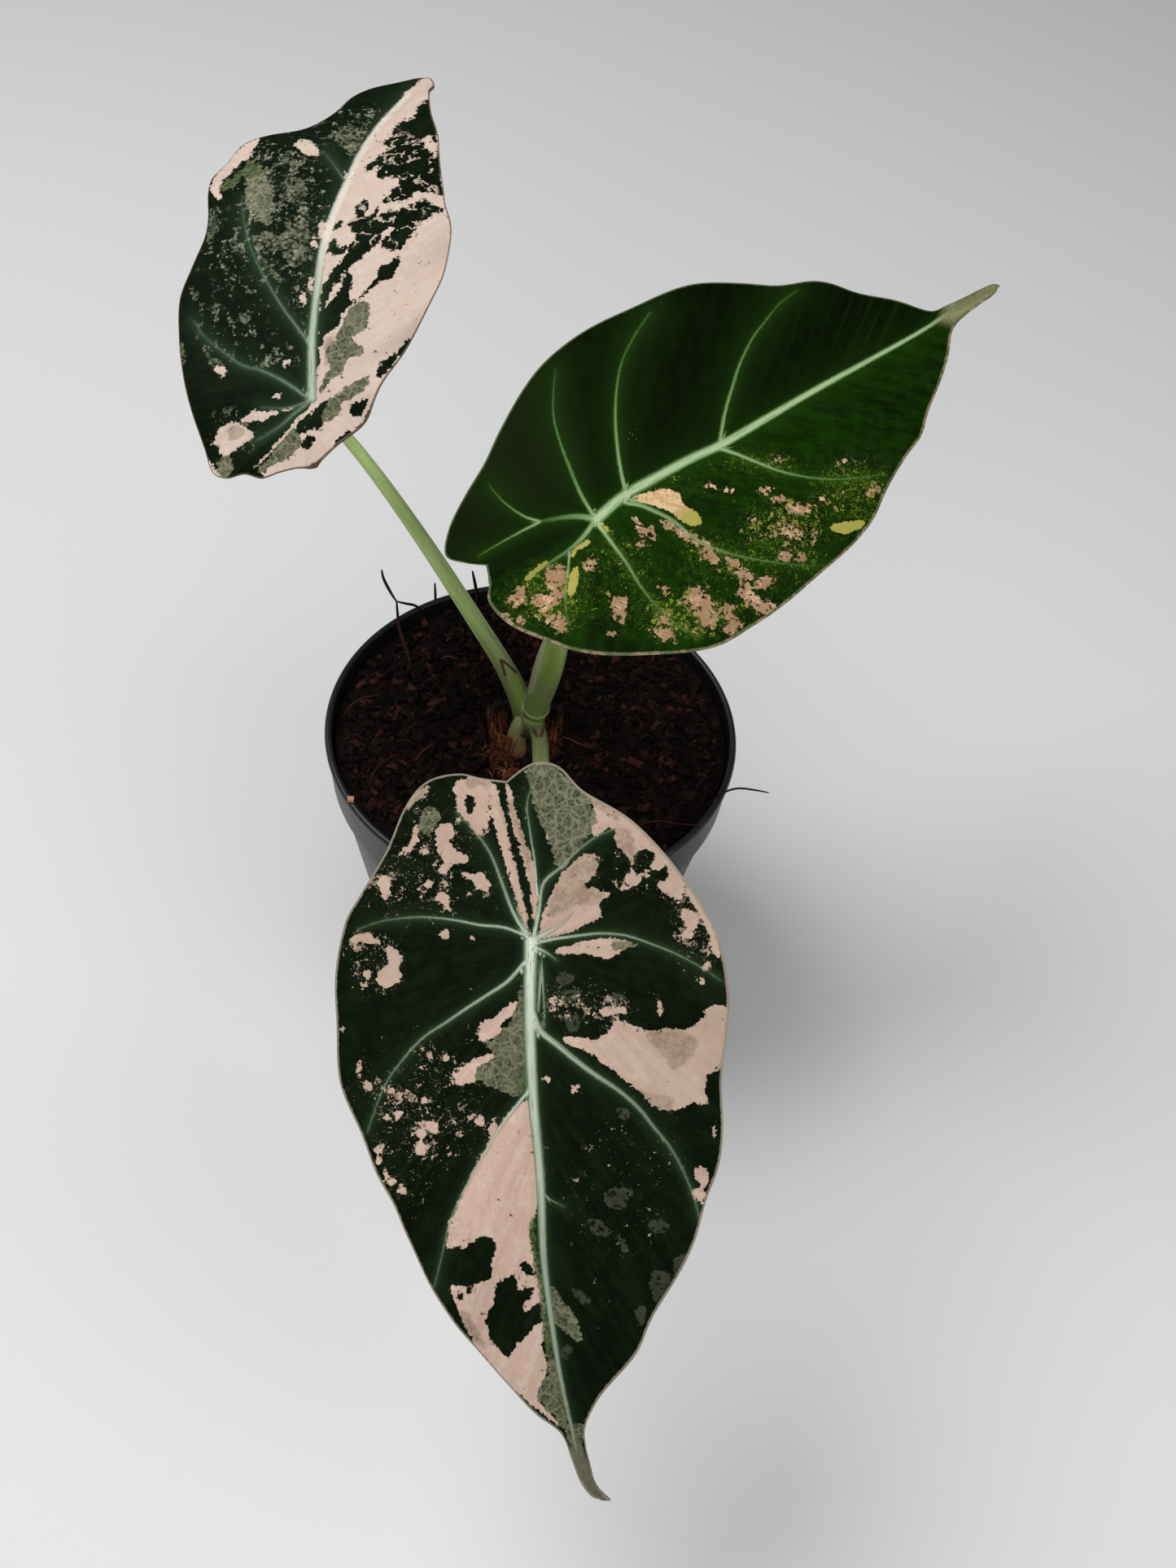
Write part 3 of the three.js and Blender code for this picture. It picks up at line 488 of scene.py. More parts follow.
FRONT["pink"] = {
    "wedge": [(650, 1352), (657, 1413), (662, 1463), (657, 1497), (651, 1510), (655, 1537), (662, 1570),
        (668, 1600), (668, 1628), (667, 1660), (673, 1673), (672, 1690), (662, 1710), (665, 1723),
        (688, 1747), (678, 1747), (645, 1718), (612, 1692), (588, 1659), (565, 1615), (555, 1590),
        (548, 1575), (545, 1545), (548, 1527), (552, 1503), (565, 1477), (575, 1450), (595, 1413),
        (615, 1380)],
    "big_right": [(692, 1278), (705, 1273), (728, 1277), (748, 1268), (758, 1253), (795, 1265), (828, 1265),
        (848, 1263), (862, 1250), (865, 1240), (885, 1235), (896, 1243), (896, 1283), (885, 1313),
        (868, 1323), (867, 1357), (852, 1355), (832, 1363), (805, 1360), (788, 1343), (762, 1323),
        (728, 1297)],
    "upper_right": [(662, 1150), (670, 1117), (688, 1078), (716, 1052), (736, 1052), (738, 1063),
        (728, 1077), (720, 1090), (752, 1097), (736, 1110), (738, 1127), (715, 1140), (690, 1150)],
    "right_margin": [(700, 955), (732, 977), (758, 997), (785, 1014), (822, 1047), (848, 1078), (868, 1115),
        (881, 1147), (884, 1179), (875, 1170), (868, 1143), (862, 1130), (848, 1106), (842, 1090),
        (838, 1103), (828, 1103), (808, 1090), (815, 1073), (795, 1070), (785, 1087), (762, 1093),
        (776, 1063), (758, 1040), (755, 1020), (748, 1017), (730, 1027), (723, 1010), (728, 990),
        (712, 970)],
    "right_upper_strip": [(685, 1168), (702, 1161), (728, 1155), (755, 1154), (782, 1160), (768, 1168),
        (755, 1177), (742, 1178), (715, 1172), (688, 1172)],
    "left_lobe": [(557, 967), (568, 957), (595, 955), (601, 960), (600, 1023), (595, 1020), (588, 1027),
        (577, 1013), (562, 997), (560, 980)],
    "stripe_left": [(602, 968), (610, 967), (615, 990), (625, 1030), (635, 1073), (645, 1117), (650, 1143),
        (645, 1137), (633, 1103), (622, 1063), (609, 1023), (603, 997)],
    "stripe_right": [(620, 968), (627, 970), (635, 1003), (648, 1040), (658, 1073), (661, 1103),
        (658, 1143), (655, 1130), (650, 1090), (640, 1050), (628, 1010)],
    "left_of_up_left": [(535, 1020), (545, 1013), (557, 1015), (552, 1027), (558, 1043), (575, 1053),
        (573, 1062), (558, 1063), (547, 1078), (540, 1070), (545, 1057), (537, 1047)],
    "beside_up_left": [(562, 1070), (582, 1073), (592, 1072), (603, 1090), (598, 1098), (585, 1093),
        (580, 1082), (568, 1077)],
    "small_upper": [(538, 1097), (548, 1098), (553, 1117), (545, 1115), (537, 1107)],
    "shoulder": [(487, 1053), (495, 1043), (505, 1033), (510, 1010), (516, 1020), (513, 1034), (505, 1046),
        (495, 1050)],
    "shoulder_margin": [(498, 996), (508, 976), (526, 966), (522, 980), (508, 990)],
    "left_flank": [(467, 1080), (480, 1075), (480, 1090), (475, 1107), (470, 1100), (465, 1090)],
    "left_bar": [(430, 1157), (445, 1145), (465, 1152), (468, 1163), (455, 1160), (432, 1159)],
    "left_cluster": [(463, 1200), (476, 1185), (474, 1167), (483, 1163), (495, 1177), (492, 1190),
        (496, 1199), (485, 1211), (468, 1213)],
    "midrib_upper": [(587, 1270), (592, 1255), (608, 1250), (628, 1232), (637, 1233), (630, 1247),
        (615, 1258), (617, 1270), (595, 1280)],
    "midrib_lower": [(557, 1318), (568, 1310), (588, 1298), (605, 1293), (608, 1300), (588, 1313),
        (582, 1330), (562, 1332)],
    "right_flank": [(737, 1243), (748, 1237), (767, 1238), (765, 1246), (742, 1249)],
    "right_tail": [(853, 1437), (865, 1433), (870, 1447), (866, 1460), (864, 1479), (852, 1470),
        (853, 1463), (862, 1457), (855, 1447)],
    "left_tail": [(472, 1437), (480, 1445), (486, 1452), (482, 1458), (476, 1449)],
}
FRONT["pink_dots"] = {
    "right_upper": [(848, 1130, 11, 12), (845, 1149, 6, 6), (872, 1146, 4, 16), (868, 1187, 5, 4),
        (862, 1205, 3, 4), (674, 1025, 4, 9), (810, 1240, 3, 6)],
    "left_upper": [(527, 1087, 6, 5), (522, 1048, 6, 4), (452, 1197, 5, 7), (547, 1150, 6, 7),
        (554, 1026, 5, 5), (580, 1153, 4, 3)],
    "left_lower": [(453, 1335, 6, 6), (480, 1340, 8, 5), (527, 1297, 4, 6), (520, 1352, 8, 4),
        (530, 1384, 8, 8), (442, 1313, 2.5, 8), (517, 1393, 7, 7), (590, 1378, 5, 7), (423, 1263, 4, 4),
        (548, 1300, 5, 4), (467, 1412, 6, 6), (465, 1426, 4, 4), (517, 1411, 8, 8), (495, 1463, 6, 5),
        (606, 1388, 6, 8), (477, 1373, 5, 4), (490, 1370, 5, 4)],
    "right_lower": [(680, 1229, 4, 6), (706, 1338, 6, 6), (672, 1326, 5, 3), (877, 1387, 3, 8)],
}
FRONT["dark"] = {
    "island_left": [(547, 1535), (565, 1530), (568, 1535), (585, 1522), (595, 1518), (608, 1523),
        (607, 1540), (603, 1553), (602, 1570), (585, 1577), (568, 1580), (558, 1580), (552, 1583),
        (530, 1580), (538, 1555)],
    "island_tip": [(610, 1578), (628, 1568), (635, 1573), (640, 1585), (648, 1582), (658, 1580),
        (652, 1593), (642, 1603), (645, 1613), (658, 1603), (667, 1603), (668, 1620), (655, 1630),
        (645, 1642), (635, 1652), (623, 1667), (615, 1657), (608, 1653), (602, 1643), (598, 1627),
        (602, 1610), (607, 1600)],
    "island_midrib": [(640, 1553), (648, 1550), (655, 1557), (657, 1567), (650, 1568), (640, 1563)],
    "lobe_hole": [(573, 980), (580, 979), (583, 990), (579, 1001), (572, 998)],
    "margin_island": [(778, 1053), (788, 1043), (800, 1047), (802, 1060), (792, 1070), (780, 1073)],
}
FRONT["dark_dots"] = {
    "wedge": [(565, 1593, 4, 4), (577, 1584, 6, 4), (814, 1075, 5, 9)],
}
FRONT["net"] = {
    "upper_sector": [(645, 948), (662, 936), (678, 943), (702, 958), (720, 975), (728, 993), (723, 1010),
        (728, 1020), (708, 1047), (692, 1067), (682, 1060), (675, 1033), (662, 1007), (655, 987),
        (652, 967)],
    "midrib_left": [(642, 1207), (648, 1250), (648, 1340), (630, 1345), (612, 1337), (588, 1327),
        (588, 1313), (608, 1300), (595, 1283), (612, 1272), (630, 1250), (638, 1225)],
    "tip_left": [(675, 1667), (685, 1680), (692, 1700), (695, 1720), (698, 1750), (693, 1754), (680, 1740),
        (663, 1720), (661, 1710), (670, 1690)],
    "spear": [(675, 1577), (688, 1590), (702, 1610), (715, 1637), (712, 1647), (702, 1643), (688, 1633),
        (678, 1620), (677, 1597)],
    "shoulder": [(517, 1000), (528, 990), (541, 1002), (538, 1012), (525, 1028), (514, 1018)],
    "tail": [(696, 1752), (718, 1752), (716, 1790), (740, 1842), (752, 1842), (744, 1850), (728, 1844),
        (706, 1800), (698, 1772)],
}
FRONT["grey"] = {
    "below_right_upper": [(685, 1197), (698, 1195), (707, 1207), (695, 1210), (685, 1208)],
    "right_specks_1": [(688, 1222), (700, 1219), (716, 1224), (706, 1231), (690, 1232)],
    "right_specks_2": [(695, 1250), (710, 1247), (713, 1262), (700, 1268)],
    "right_specks_3": [(738, 1225), (756, 1222), (768, 1227), (752, 1231)],
    "lower_1": [(742, 1468), (755, 1458), (775, 1462), (772, 1477), (762, 1486), (745, 1480)],
    "lower_2": [(723, 1497), (742, 1502), (751, 1513), (742, 1519), (728, 1514)],
    "lower_3": [(758, 1516), (768, 1522), (772, 1535), (765, 1537), (760, 1527)],
    "lower_4": [(796, 1508), (805, 1498), (821, 1505), (818, 1513), (808, 1514), (800, 1512)],
    "margin_1": [(799, 1567), (812, 1562), (824, 1567), (818, 1583), (808, 1601), (800, 1594)],
    "margin_2": [(828, 1548), (843, 1538), (840, 1553), (826, 1567)],
    "margin_3": [(782, 1607), (792, 1605), (792, 1623), (785, 1631), (781, 1617)],
    "spear_low": [(686, 1658), (699, 1654), (702, 1662), (692, 1669)],
    "spear_right": [(702, 1582), (716, 1586), (724, 1600), (712, 1600)],
    "middle": [(759, 1362), (771, 1362), (776, 1372), (764, 1376)],
}
FRONT["veil"] = {
    "big_right": [(795, 1267), (825, 1267), (848, 1270), (858, 1283), (845, 1303), (827, 1317), (818, 1300),
        (798, 1283)],
    "big_right_low": [(785, 1338), (805, 1345), (827, 1349), (822, 1362), (803, 1362), (786, 1350)],
    "upper_right": [(673, 1128), (680, 1096), (690, 1076), (716, 1050), (736, 1050), (738, 1065),
        (724, 1084), (744, 1100), (724, 1112), (700, 1116)],
    "margin": [(755, 1018), (775, 1023), (780, 1050), (770, 1072), (758, 1062), (752, 1040)],
    "margin_top": [(712, 965), (740, 985), (762, 1000), (758, 1010), (735, 995), (716, 985)],
    "lobe_top": [(572, 954), (598, 952), (600, 970), (588, 966), (578, 972)],
    "wedge_margin": [(565, 1610), (575, 1613), (587, 1633), (595, 1655), (582, 1645), (568, 1620)],
    "stripe_left": [(612, 985), (618, 1000), (630, 1050), (642, 1100), (650, 1138), (646, 1110),
        (634, 1065), (620, 1015)],
    "stripe_right": [(622, 985), (634, 990), (642, 1020), (652, 1050), (648, 1070), (638, 1035)],
    "shoulder": [(487, 1053), (500, 996), (512, 975), (526, 966), (520, 984), (505, 1000), (496, 1040)],
}
FRONT["lime"] = {
    "fringe": [(652, 1498), (657, 1498), (661, 1540), (667, 1580), (676, 1640), (679, 1668), (671, 1668),
        (668, 1640), (662, 1590), (655, 1545), (650, 1515)],
    "strip_end": [(750, 1161), (758, 1157), (784, 1159), (778, 1165), (762, 1170), (752, 1168)],
    "margin_bit": [(722, 992), (731, 998), (733, 1012), (725, 1016), (720, 1004)],
    "midrib": [(634, 1318), (646, 1310), (648, 1345), (638, 1352)],
}
FRONT["flecks"] = {
    "left_lower": (520, 1370, 110, 110, 0.8), "left_lowest": (500, 1460, 60, 60, 0.62),
    "left_upper": (500, 1085, 90, 80, 0.75), "left_margin": (455, 1180, 50, 60, 0.8),
    "up_left": (600, 1100, 40, 50, 0.5), "right_margin": (850, 1130, 50, 90, 0.85),
    "right_band": (720, 1235, 90, 35, 0.95), "right_top": (770, 1070, 60, 40, 0.6),
    "left_top": (540, 1030, 70, 60, 0.7), "right_lower": (760, 1450, 120, 150, 0.55),
    "notch": (645, 985, 12, 30, 0.7), "left_middle": (560, 1200, 90, 40, 0.35),
    "right_upper": (790, 1120, 70, 30, 0.3), "near_right_middle": (820, 1430, 40, 60, 0.6),
    "left_band": (520, 1285, 100, 50, 0.42), "right_low": (775, 1500, 80, 90, 0.5),
    "right_lowest": (750, 1600, 60, 70, 0.35),
}
RIGHT["veins"] = {
    "midrib": (8, 2.5, [(733, 638), (765, 610), (800, 590), (850, 563), (885, 547), (940, 515), (1000, 480),
        (1060, 447), (1100, 425), (1140, 402), (1165, 385), (1190, 370)]),
    "upper_first": (3, 0.8, [(731, 636), (715, 610), (700, 575), (687, 540), (680, 510), (680, 480),
        (682, 458)]),
    "upper_second": (3.2, 0.8, [(770, 608), (763, 580), (758, 545), (756, 510), (758, 475), (764, 445),
        (778, 415), (798, 385)]),
    "upper_third": (3, 0.8, [(884, 547), (890, 510), (900, 475), (910, 445), (925, 415), (940, 395),
        (958, 373), (978, 358)]),
    "back": (5, 2, [(731, 638), (715, 635), (700, 635), (680, 638), (662, 641)]),
    "back_upper": (2.4, 0.8, [(664, 641), (645, 635), (620, 618), (602, 598)]),
    "back_lower": (2.4, 0.8, [(664, 641), (635, 656), (610, 670), (588, 683)]),
    "lobe": (4, 1, [(731, 640), (718, 658), (700, 675), (675, 692), (648, 712)]),
    "lobe_branch": (2.2, 0.8, [(700, 675), (698, 700), (695, 730), (697, 775)]),
    "low_first": (3.4, 0.9, [(733, 642), (750, 665), (770, 692), (785, 717), (805, 743), (828, 765),
        (860, 783)]),
    "low_second": (3.6, 0.9, [(768, 618), (784, 620), (804, 628), (827, 640), (854, 662), (885, 677),
        (920, 686), (966, 693), (1005, 696)]),
    "low_third": (3, 0.9, [(884, 551), (905, 558), (930, 568), (955, 578), (989, 586), (1025, 589),
        (1056, 587), (1083, 583)]),
}
RIGHT["pink"] = {
    "beside_low_second": [(808, 639), (828, 644), (848, 654), (872, 668), (880, 682), (882, 698),
        (872, 692), (862, 678), (844, 664), (820, 650)],
    "below_low_second": [(894, 684), (906, 688), (916, 702), (926, 714), (912, 710), (896, 698)],
    "short_streak": [(778, 636), (790, 646), (797, 662), (785, 656)],
    "cluster_left": [(842, 726), (856, 722), (872, 736), (880, 754), (876, 774), (864, 770), (856, 754),
        (840, 742)],
    "cluster_middle": [(884, 748), (900, 746), (904, 762), (914, 770), (900, 780), (890, 774), (892, 760)],
    "cluster_right": [(906, 718), (922, 720), (928, 734), (940, 738), (954, 746), (934, 757), (924, 742),
        (910, 738)],
    "cluster_top": [(926, 716), (940, 710), (952, 712), (936, 724)],
    "lobe_middle": [(752, 738), (766, 735), (772, 754), (764, 766), (754, 760)],
    "lobe_low": [(668, 764), (680, 758), (696, 762), (698, 775), (680, 773)],
    "lobe_edge": [(610, 750), (624, 757), (632, 770), (616, 766)],
    "lobe_upper": [(626, 734), (640, 724), (646, 734), (634, 748)],
    "lobe_brown": [(654, 736), (676, 730), (696, 722), (684, 744), (662, 752)],
    "lobe_brown_top": [(672, 700), (694, 694), (696, 710), (684, 724), (668, 717)],
    "lower_dots": [(804, 774), (814, 770), (828, 776), (822, 786), (808, 784)],
    "right_low": [(956, 682), (966, 676), (976, 680), (970, 690), (960, 688)],
    "right_mid": [(958, 650), (972, 646), (984, 652), (982, 662), (966, 658)],
}
RIGHT["pink_dots"] = {
    "lower": [(816, 763, 7, 5), (979, 627, 12, 6), (984, 684, 5, 5), (1036, 570, 4, 4), (956, 566, 5, 3),
        (869, 599, 5, 2.5), (895, 604, 6, 3.5), (956, 614, 5, 4), (940, 604, 6, 4), (1068, 605, 7, 3.5),
        (1008, 611, 5, 2.5), (925, 640, 4, 3), (950, 656, 4, 2.5), (999, 660, 3, 5), (724, 696, 5, 6),
        (753, 779, 4, 3), (640, 763, 5, 4), (788, 668, 5, 3), (802, 656, 3, 5), (813, 724, 4, 2.5)],
}
RIGHT["cream"] = {
    "root_patch": [(774, 614), (796, 605), (816, 601), (834, 606), (838, 618), (852, 628), (861, 638),
        (858, 647), (840, 643), (824, 630), (804, 622)],
    "margin_patch": [(1020, 646), (1036, 642), (1061, 640), (1056, 650), (1036, 657), (1022, 654)],
    "branch_bits": [(701, 704), (709, 697), (711, 714), (703, 732), (697, 726)],
    "root_bits": [(730, 644), (740, 642), (748, 650), (742, 656)],
    "vein_flame": [(643, 713), (655, 700), (669, 690), (672, 693), (660, 704), (650, 713)],
    "upper_flame": [(700, 682), (708, 671), (722, 664), (725, 668), (712, 676), (704, 685)],
}
RIGHT["flecks"] = {
    "lobe": (680, 735, 75, 50, 0.95), "lobe_right": (760, 700, 60, 60, 0.7),
    "bottom": (850, 755, 100, 40, 1.0), "middle": (880, 690, 70, 45, 0.75),
    "right": (965, 655, 80, 55, 0.95), "far_right": (1050, 610, 60, 60, 0.95),
    "upper_low": (930, 570, 70, 22, 0.7), "under_midrib": (840, 600, 70, 20, 0.5),
    "lower_edge": (960, 715, 80, 40, 0.6), "upper_half": (900, 440, 200, 80, 0.2),
    "above_root": (790, 530, 30, 30, 0.4),
}
LEFT["veins"] = {
    "midrib": (6.5, 2.4, [(383, 489), (383, 454), (383, 420), (386, 386), (391, 345), (398, 301),
        (410, 263), (427, 223), (447, 182), (470, 150), (489, 130), (503, 116)]),
    "left_upper": (2.2, 0.7, [(381, 428), (373, 413), (350, 382), (329, 348), (312, 314), (302, 284),
        (298, 257)]),
    "left_middle": (2.6, 0.8, [(378, 489), (360, 476), (346, 467), (320, 455), (298, 449), (275, 433),
        (251, 413), (239, 396)]),
    "left_lower": (1.8, 0.8, [(378, 493), (356, 501), (322, 501)]),
    "lobe": (3, 0.9, [(380, 494), (362, 508), (345, 523), (330, 533), (315, 541)]),
    "upper_faint": (1.4, 0.5, [(424, 223), (412, 205), (400, 190)]),
}
LEFT["pink"] = {
    "right_half": [(524, 97), (500, 114), (483, 134), (465, 157), (450, 180), (437, 207), (427, 223),
        (413, 253), (405, 277), (400, 297), (395, 320), (390, 347), (392, 373), (395, 400), (392, 440),
        (384, 480), (382, 500), (350, 533), (326, 563), (320, 580), (333, 592), (367, 582), (400, 562),
        (430, 535), (450, 512), (477, 465), (504, 425), (521, 399), (537, 365), (555, 315), (560, 277),
        (547, 247), (544, 213), (541, 153), (532, 117), (540, 104)],
    "cream_margin": [(259, 232), (270, 210), (288, 190), (310, 176), (320, 173), (315, 184), (307, 197),
        (297, 203), (283, 217), (273, 227), (272, 237), (275, 246), (267, 248), (263, 240)],
    "upper_left": [(363, 180), (373, 173), (383, 177), (393, 190), (383, 195), (373, 190)],
    "lobe": [(263, 541), (273, 527), (290, 520), (307, 527), (312, 537), (297, 547), (287, 557), (275, 563),
        (270, 550), (260, 548)],
    "lobe_right": [(295, 517), (310, 505), (327, 507), (325, 515), (310, 520), (297, 521)],
    "lobe_stripe": [(324, 508), (350, 503), (364, 500), (350, 507), (326, 513)],
    "lobe_edge": [(252, 560), (263, 573), (281, 591), (268, 593), (254, 577)],
    "lower_left": [(268, 450), (276, 452), (279, 458), (272, 463), (265, 456)],
    "notch_stripe": [(381, 500), (366, 515), (345, 540), (330, 557), (312, 574), (317, 575), (334, 560),
        (350, 542), (370, 518)],
}
LEFT["pink_dots"] = {
    "left": [(372, 368, 4, 8), (396, 283, 5, 10), (385, 299, 4, 6), (383, 350, 4, 8), (353, 447, 6, 4),
        (269, 243, 5, 4), (341, 487, 6, 2.5), (312, 262, 5, 5)],
}
LEFT["dark"] = {
    "upper_band": [(523, 127), (530, 128), (535, 153), (538, 180), (541, 213), (544, 242), (520, 240),
        (512, 237), (505, 245), (495, 250), (480, 250), (472, 250), (477, 240), (490, 230), (490, 223),
        (477, 220), (463, 222), (467, 208), (450, 212), (452, 205), (463, 197), (475, 188), (477, 182),
        (473, 177), (488, 168), (483, 165), (487, 158), (493, 152), (507, 148), (513, 137)],
    "middle_band": [(437, 257), (443, 250), (452, 248), (453, 257), (447, 268), (458, 263), (465, 257),
        (465, 267), (475, 262), (490, 260), (505, 253), (520, 248), (535, 257), (546, 260), (530, 268),
        (515, 278), (505, 290), (500, 300), (490, 308), (478, 310), (470, 305), (467, 297), (457, 307),
        (450, 315), (440, 322), (430, 330), (420, 340), (413, 350), (400, 358), (396, 356), (400, 345),
        (413, 330), (425, 318), (428, 305), (437, 295), (432, 285), (430, 275), (440, 270)],
    "by_midrib_top": [(412, 277), (422, 272), (418, 280), (408, 285)],
    "by_midrib_low": [(403, 302), (413, 295), (417, 308), (427, 300), (425, 313), (418, 315), (405, 312)],
    "wedge": [(396, 357), (417, 347), (430, 338), (433, 347), (430, 357), (430, 370), (438, 370),
        (430, 380), (420, 390), (413, 403), (400, 413), (397, 427), (389, 427), (391, 397), (394, 373)],
    "island": [(465, 343), (467, 333), (480, 323), (491, 317), (490, 327), (483, 340), (470, 347)],
    "island_line": [(467, 341), (468, 345), (441, 371), (439, 369)],
    "edge_low": [(463, 450), (477, 443), (490, 430), (502, 419), (504, 425), (490, 440), (473, 461),
        (464, 461)],
    "edge_lower": [(432, 500), (443, 493), (453, 491), (450, 504), (440, 514), (433, 510)],
    "edge_lowest": [(412, 543), (424, 532), (432, 530), (426, 540), (414, 549)],
    "near_root": [(380, 513), (393, 497), (408, 490), (407, 500), (397, 513), (397, 527), (387, 530),
        (380, 527), (373, 532)],
    "lower_spot": [(370, 547), (377, 538), (386, 537), (383, 547), (377, 553)],
    "notch_stripe": [(376, 511), (385, 506), (375, 525), (355, 545), (335, 562), (322, 577), (317, 577),
        (330, 562), (350, 541)],
}
LEFT["pink_again"] = {
    "band_hole": [(520, 173), (530, 170), (537, 187), (537, 197), (530, 193), (523, 183)],
    "wedge_sliver": [(400, 377), (407, 360), (418, 347), (421, 352), (410, 367), (403, 377)],
    "band_slit": [(512, 240), (522, 237), (537, 243), (538, 250), (524, 247), (512, 250)],
    "band_slit_low": [(470, 288), (485, 280), (482, 288), (470, 297)],
}
LEFT["net"] = {
    "right": [(433, 380), (443, 373), (455, 377), (453, 390), (450, 403), (440, 410), (433, 417),
        (447, 430), (443, 437), (433, 440), (423, 450), (420, 460), (407, 467), (400, 480), (393, 480),
        (400, 463), (407, 450), (400, 433), (413, 417), (420, 400)],
    "lower_right": [(400, 500), (417, 483), (433, 473), (453, 463), (450, 477), (433, 490), (420, 497),
        (417, 510), (400, 520), (397, 513)],
    "lowest": [(330, 563), (343, 547), (360, 530), (370, 537), (367, 553), (350, 567), (333, 573),
        (323, 581), (317, 577)],
    "left_upper": [(307, 213), (323, 213), (333, 230), (337, 253), (333, 277), (323, 277), (317, 267),
        (307, 260), (303, 240)],
    "lobe": [(268, 565), (283, 562), (286, 580), (276, 588), (268, 580)],
}
LEFT["grey"] = {
    "upper": [(357, 217), (367, 220), (380, 240), (373, 253), (387, 273), (373, 267), (360, 253),
        (350, 243), (347, 230)],
    "between_veins": [(372, 262), (380, 285), (378, 312), (368, 330), (352, 322), (344, 300), (352, 282),
        (364, 284)],
    "by_midrib": [(413, 170), (430, 155), (443, 167), (440, 180), (430, 193), (423, 183), (417, 177)],
    "hook": [(313, 293), (330, 287), (343, 293), (343, 307), (333, 310), (323, 297), (320, 313), (333, 327),
        (350, 347), (343, 347), (327, 333), (317, 320), (313, 307)],
    "left": [(282, 297), (293, 295), (302, 307), (297, 313), (287, 307)],
    "flank": [(236, 357), (242, 355), (244, 368), (239, 371)],
    "low_middle": [(293, 389), (302, 387), (308, 394), (300, 398)],
    "lower_left": [(250, 428), (258, 427), (263, 440), (273, 443), (277, 452), (268, 455), (258, 445)],
    "low_inner": [(327, 437), (335, 437), (341, 446), (334, 448)],
    "flank_low": [(222, 423), (226, 423), (229, 443), (225, 445)],
    "slip": [(350, 275), (357, 273), (361, 291), (354, 293)],
    "margin_band": [(258, 262), (266, 256), (273, 262), (268, 284), (258, 300), (255, 285)],
    "near_cream": [(345, 196), (353, 193), (354, 203), (346, 206)],
}
LEFT["veil"] = {
    "right_of_net": [(400, 420), (412, 414), (416, 436), (404, 452), (398, 440)],
    "lobe": [(280, 528), (292, 524), (300, 532), (286, 542)],
}
LEFT["lime"] = {
    "under_cream": [(273, 230), (287, 220), (300, 210), (307, 198), (317, 203), (323, 213), (310, 220),
        (297, 220), (290, 230), (277, 238), (272, 236)],
}
LEFT["flecks"] = {
    "left_upper": (345, 235, 65, 75, 1.0), "left_middle": (310, 320, 70, 60, 0.8),
    "left_low": (290, 400, 60, 50, 0.6), "by_midrib": (370, 330, 25, 80, 0.8),
    "top": (440, 160, 60, 35, 0.75), "right_bands": (490, 220, 60, 60, 1.0),
    "right_bands_low": (470, 280, 60, 40, 0.8), "low_inner": (340, 440, 40, 20, 0.7),
    "lobe": (290, 530, 40, 35, 0.6), "near_cream": (330, 200, 50, 25, 0.9),
}


# Distances in the photograph, in pixels
FAR_PX = 40.0
FARTHEST_VEIN_PX = 400.0
VEIN_POINTS = 30
SIDE_VEIN_LOSS = 0.72
FLECK_PEAK = 1.6
FLECK_FALL = 1.3


def segment_gaps(at, start, end):
    """Distance from each point to a segment, and how far along it the nearest point lies, 0 to 1."""
    along = end - start
    share = np.clip(((at - start) @ along) / max(along @ along, 1e-9), 0, 1)
    return np.linalg.norm(at - start - share[:, None] * along, axis=1), share


def depth_in_outline(at, outline):
    """Distance from each point to a closed outline rounded through its corners, positive inside.

    A point is inside when a line from it to the right crosses the outline an odd number of times.
    """
    corners = np.asarray(outline, float)
    before, after, later = (np.roll(corners, turn, 0) for turn in (1, -1, -2))
    thirds = [catmull(before, corners, after, later, t) for t in (0, 1 / 3, 2 / 3)]
    rounded = np.stack(thirds, 1).reshape(-1, 2)
    low, high = rounded.min(0) - FAR_PX, rounded.max(0) + FAR_PX
    near = np.all((at > low) & (at < high), axis=1)
    depth = np.full(len(at), -FAR_PX)
    close = at[near]
    gap = np.full(len(close), FAR_PX)
    inside = np.zeros(len(close), bool)
    for a, b in zip(rounded, np.roll(rounded, -1, 0)):
        gap = np.minimum(gap, segment_gaps(close, a, b)[0])
        if a[1] != b[1]:
            spans = (a[1] > close[:, 1]) != (b[1] > close[:, 1])
            crossing = a[0] + (close[:, 1] - a[1]) * (b[0] - a[0]) / (b[1] - a[1])
            inside ^= spans & (close[:, 0] < crossing)
    depth[near] = np.where(inside, gap, -gap)
    return depth


def reach_in_oval(at, x, y, across, high):
    """0 at an oval's middle and 1 on its edge."""
    return np.hypot((at[:, 0] - x) / across, (at[:, 1] - y) / high)


def deepest(at, outlines, dots=None):
    """Distance into whichever outline or dot a point lies deepest in, negative outside them all."""
    depth = np.full(len(at), -FAR_PX)
    for outline in (outlines or {}).values():
        depth = np.maximum(depth, depth_in_outline(at, outline))
    for group in (dots or {}).values():
        for dot in group:
            depth = np.maximum(depth, (1 - reach_in_oval(at, *dot)) * min(dot[2:]))
    return depth


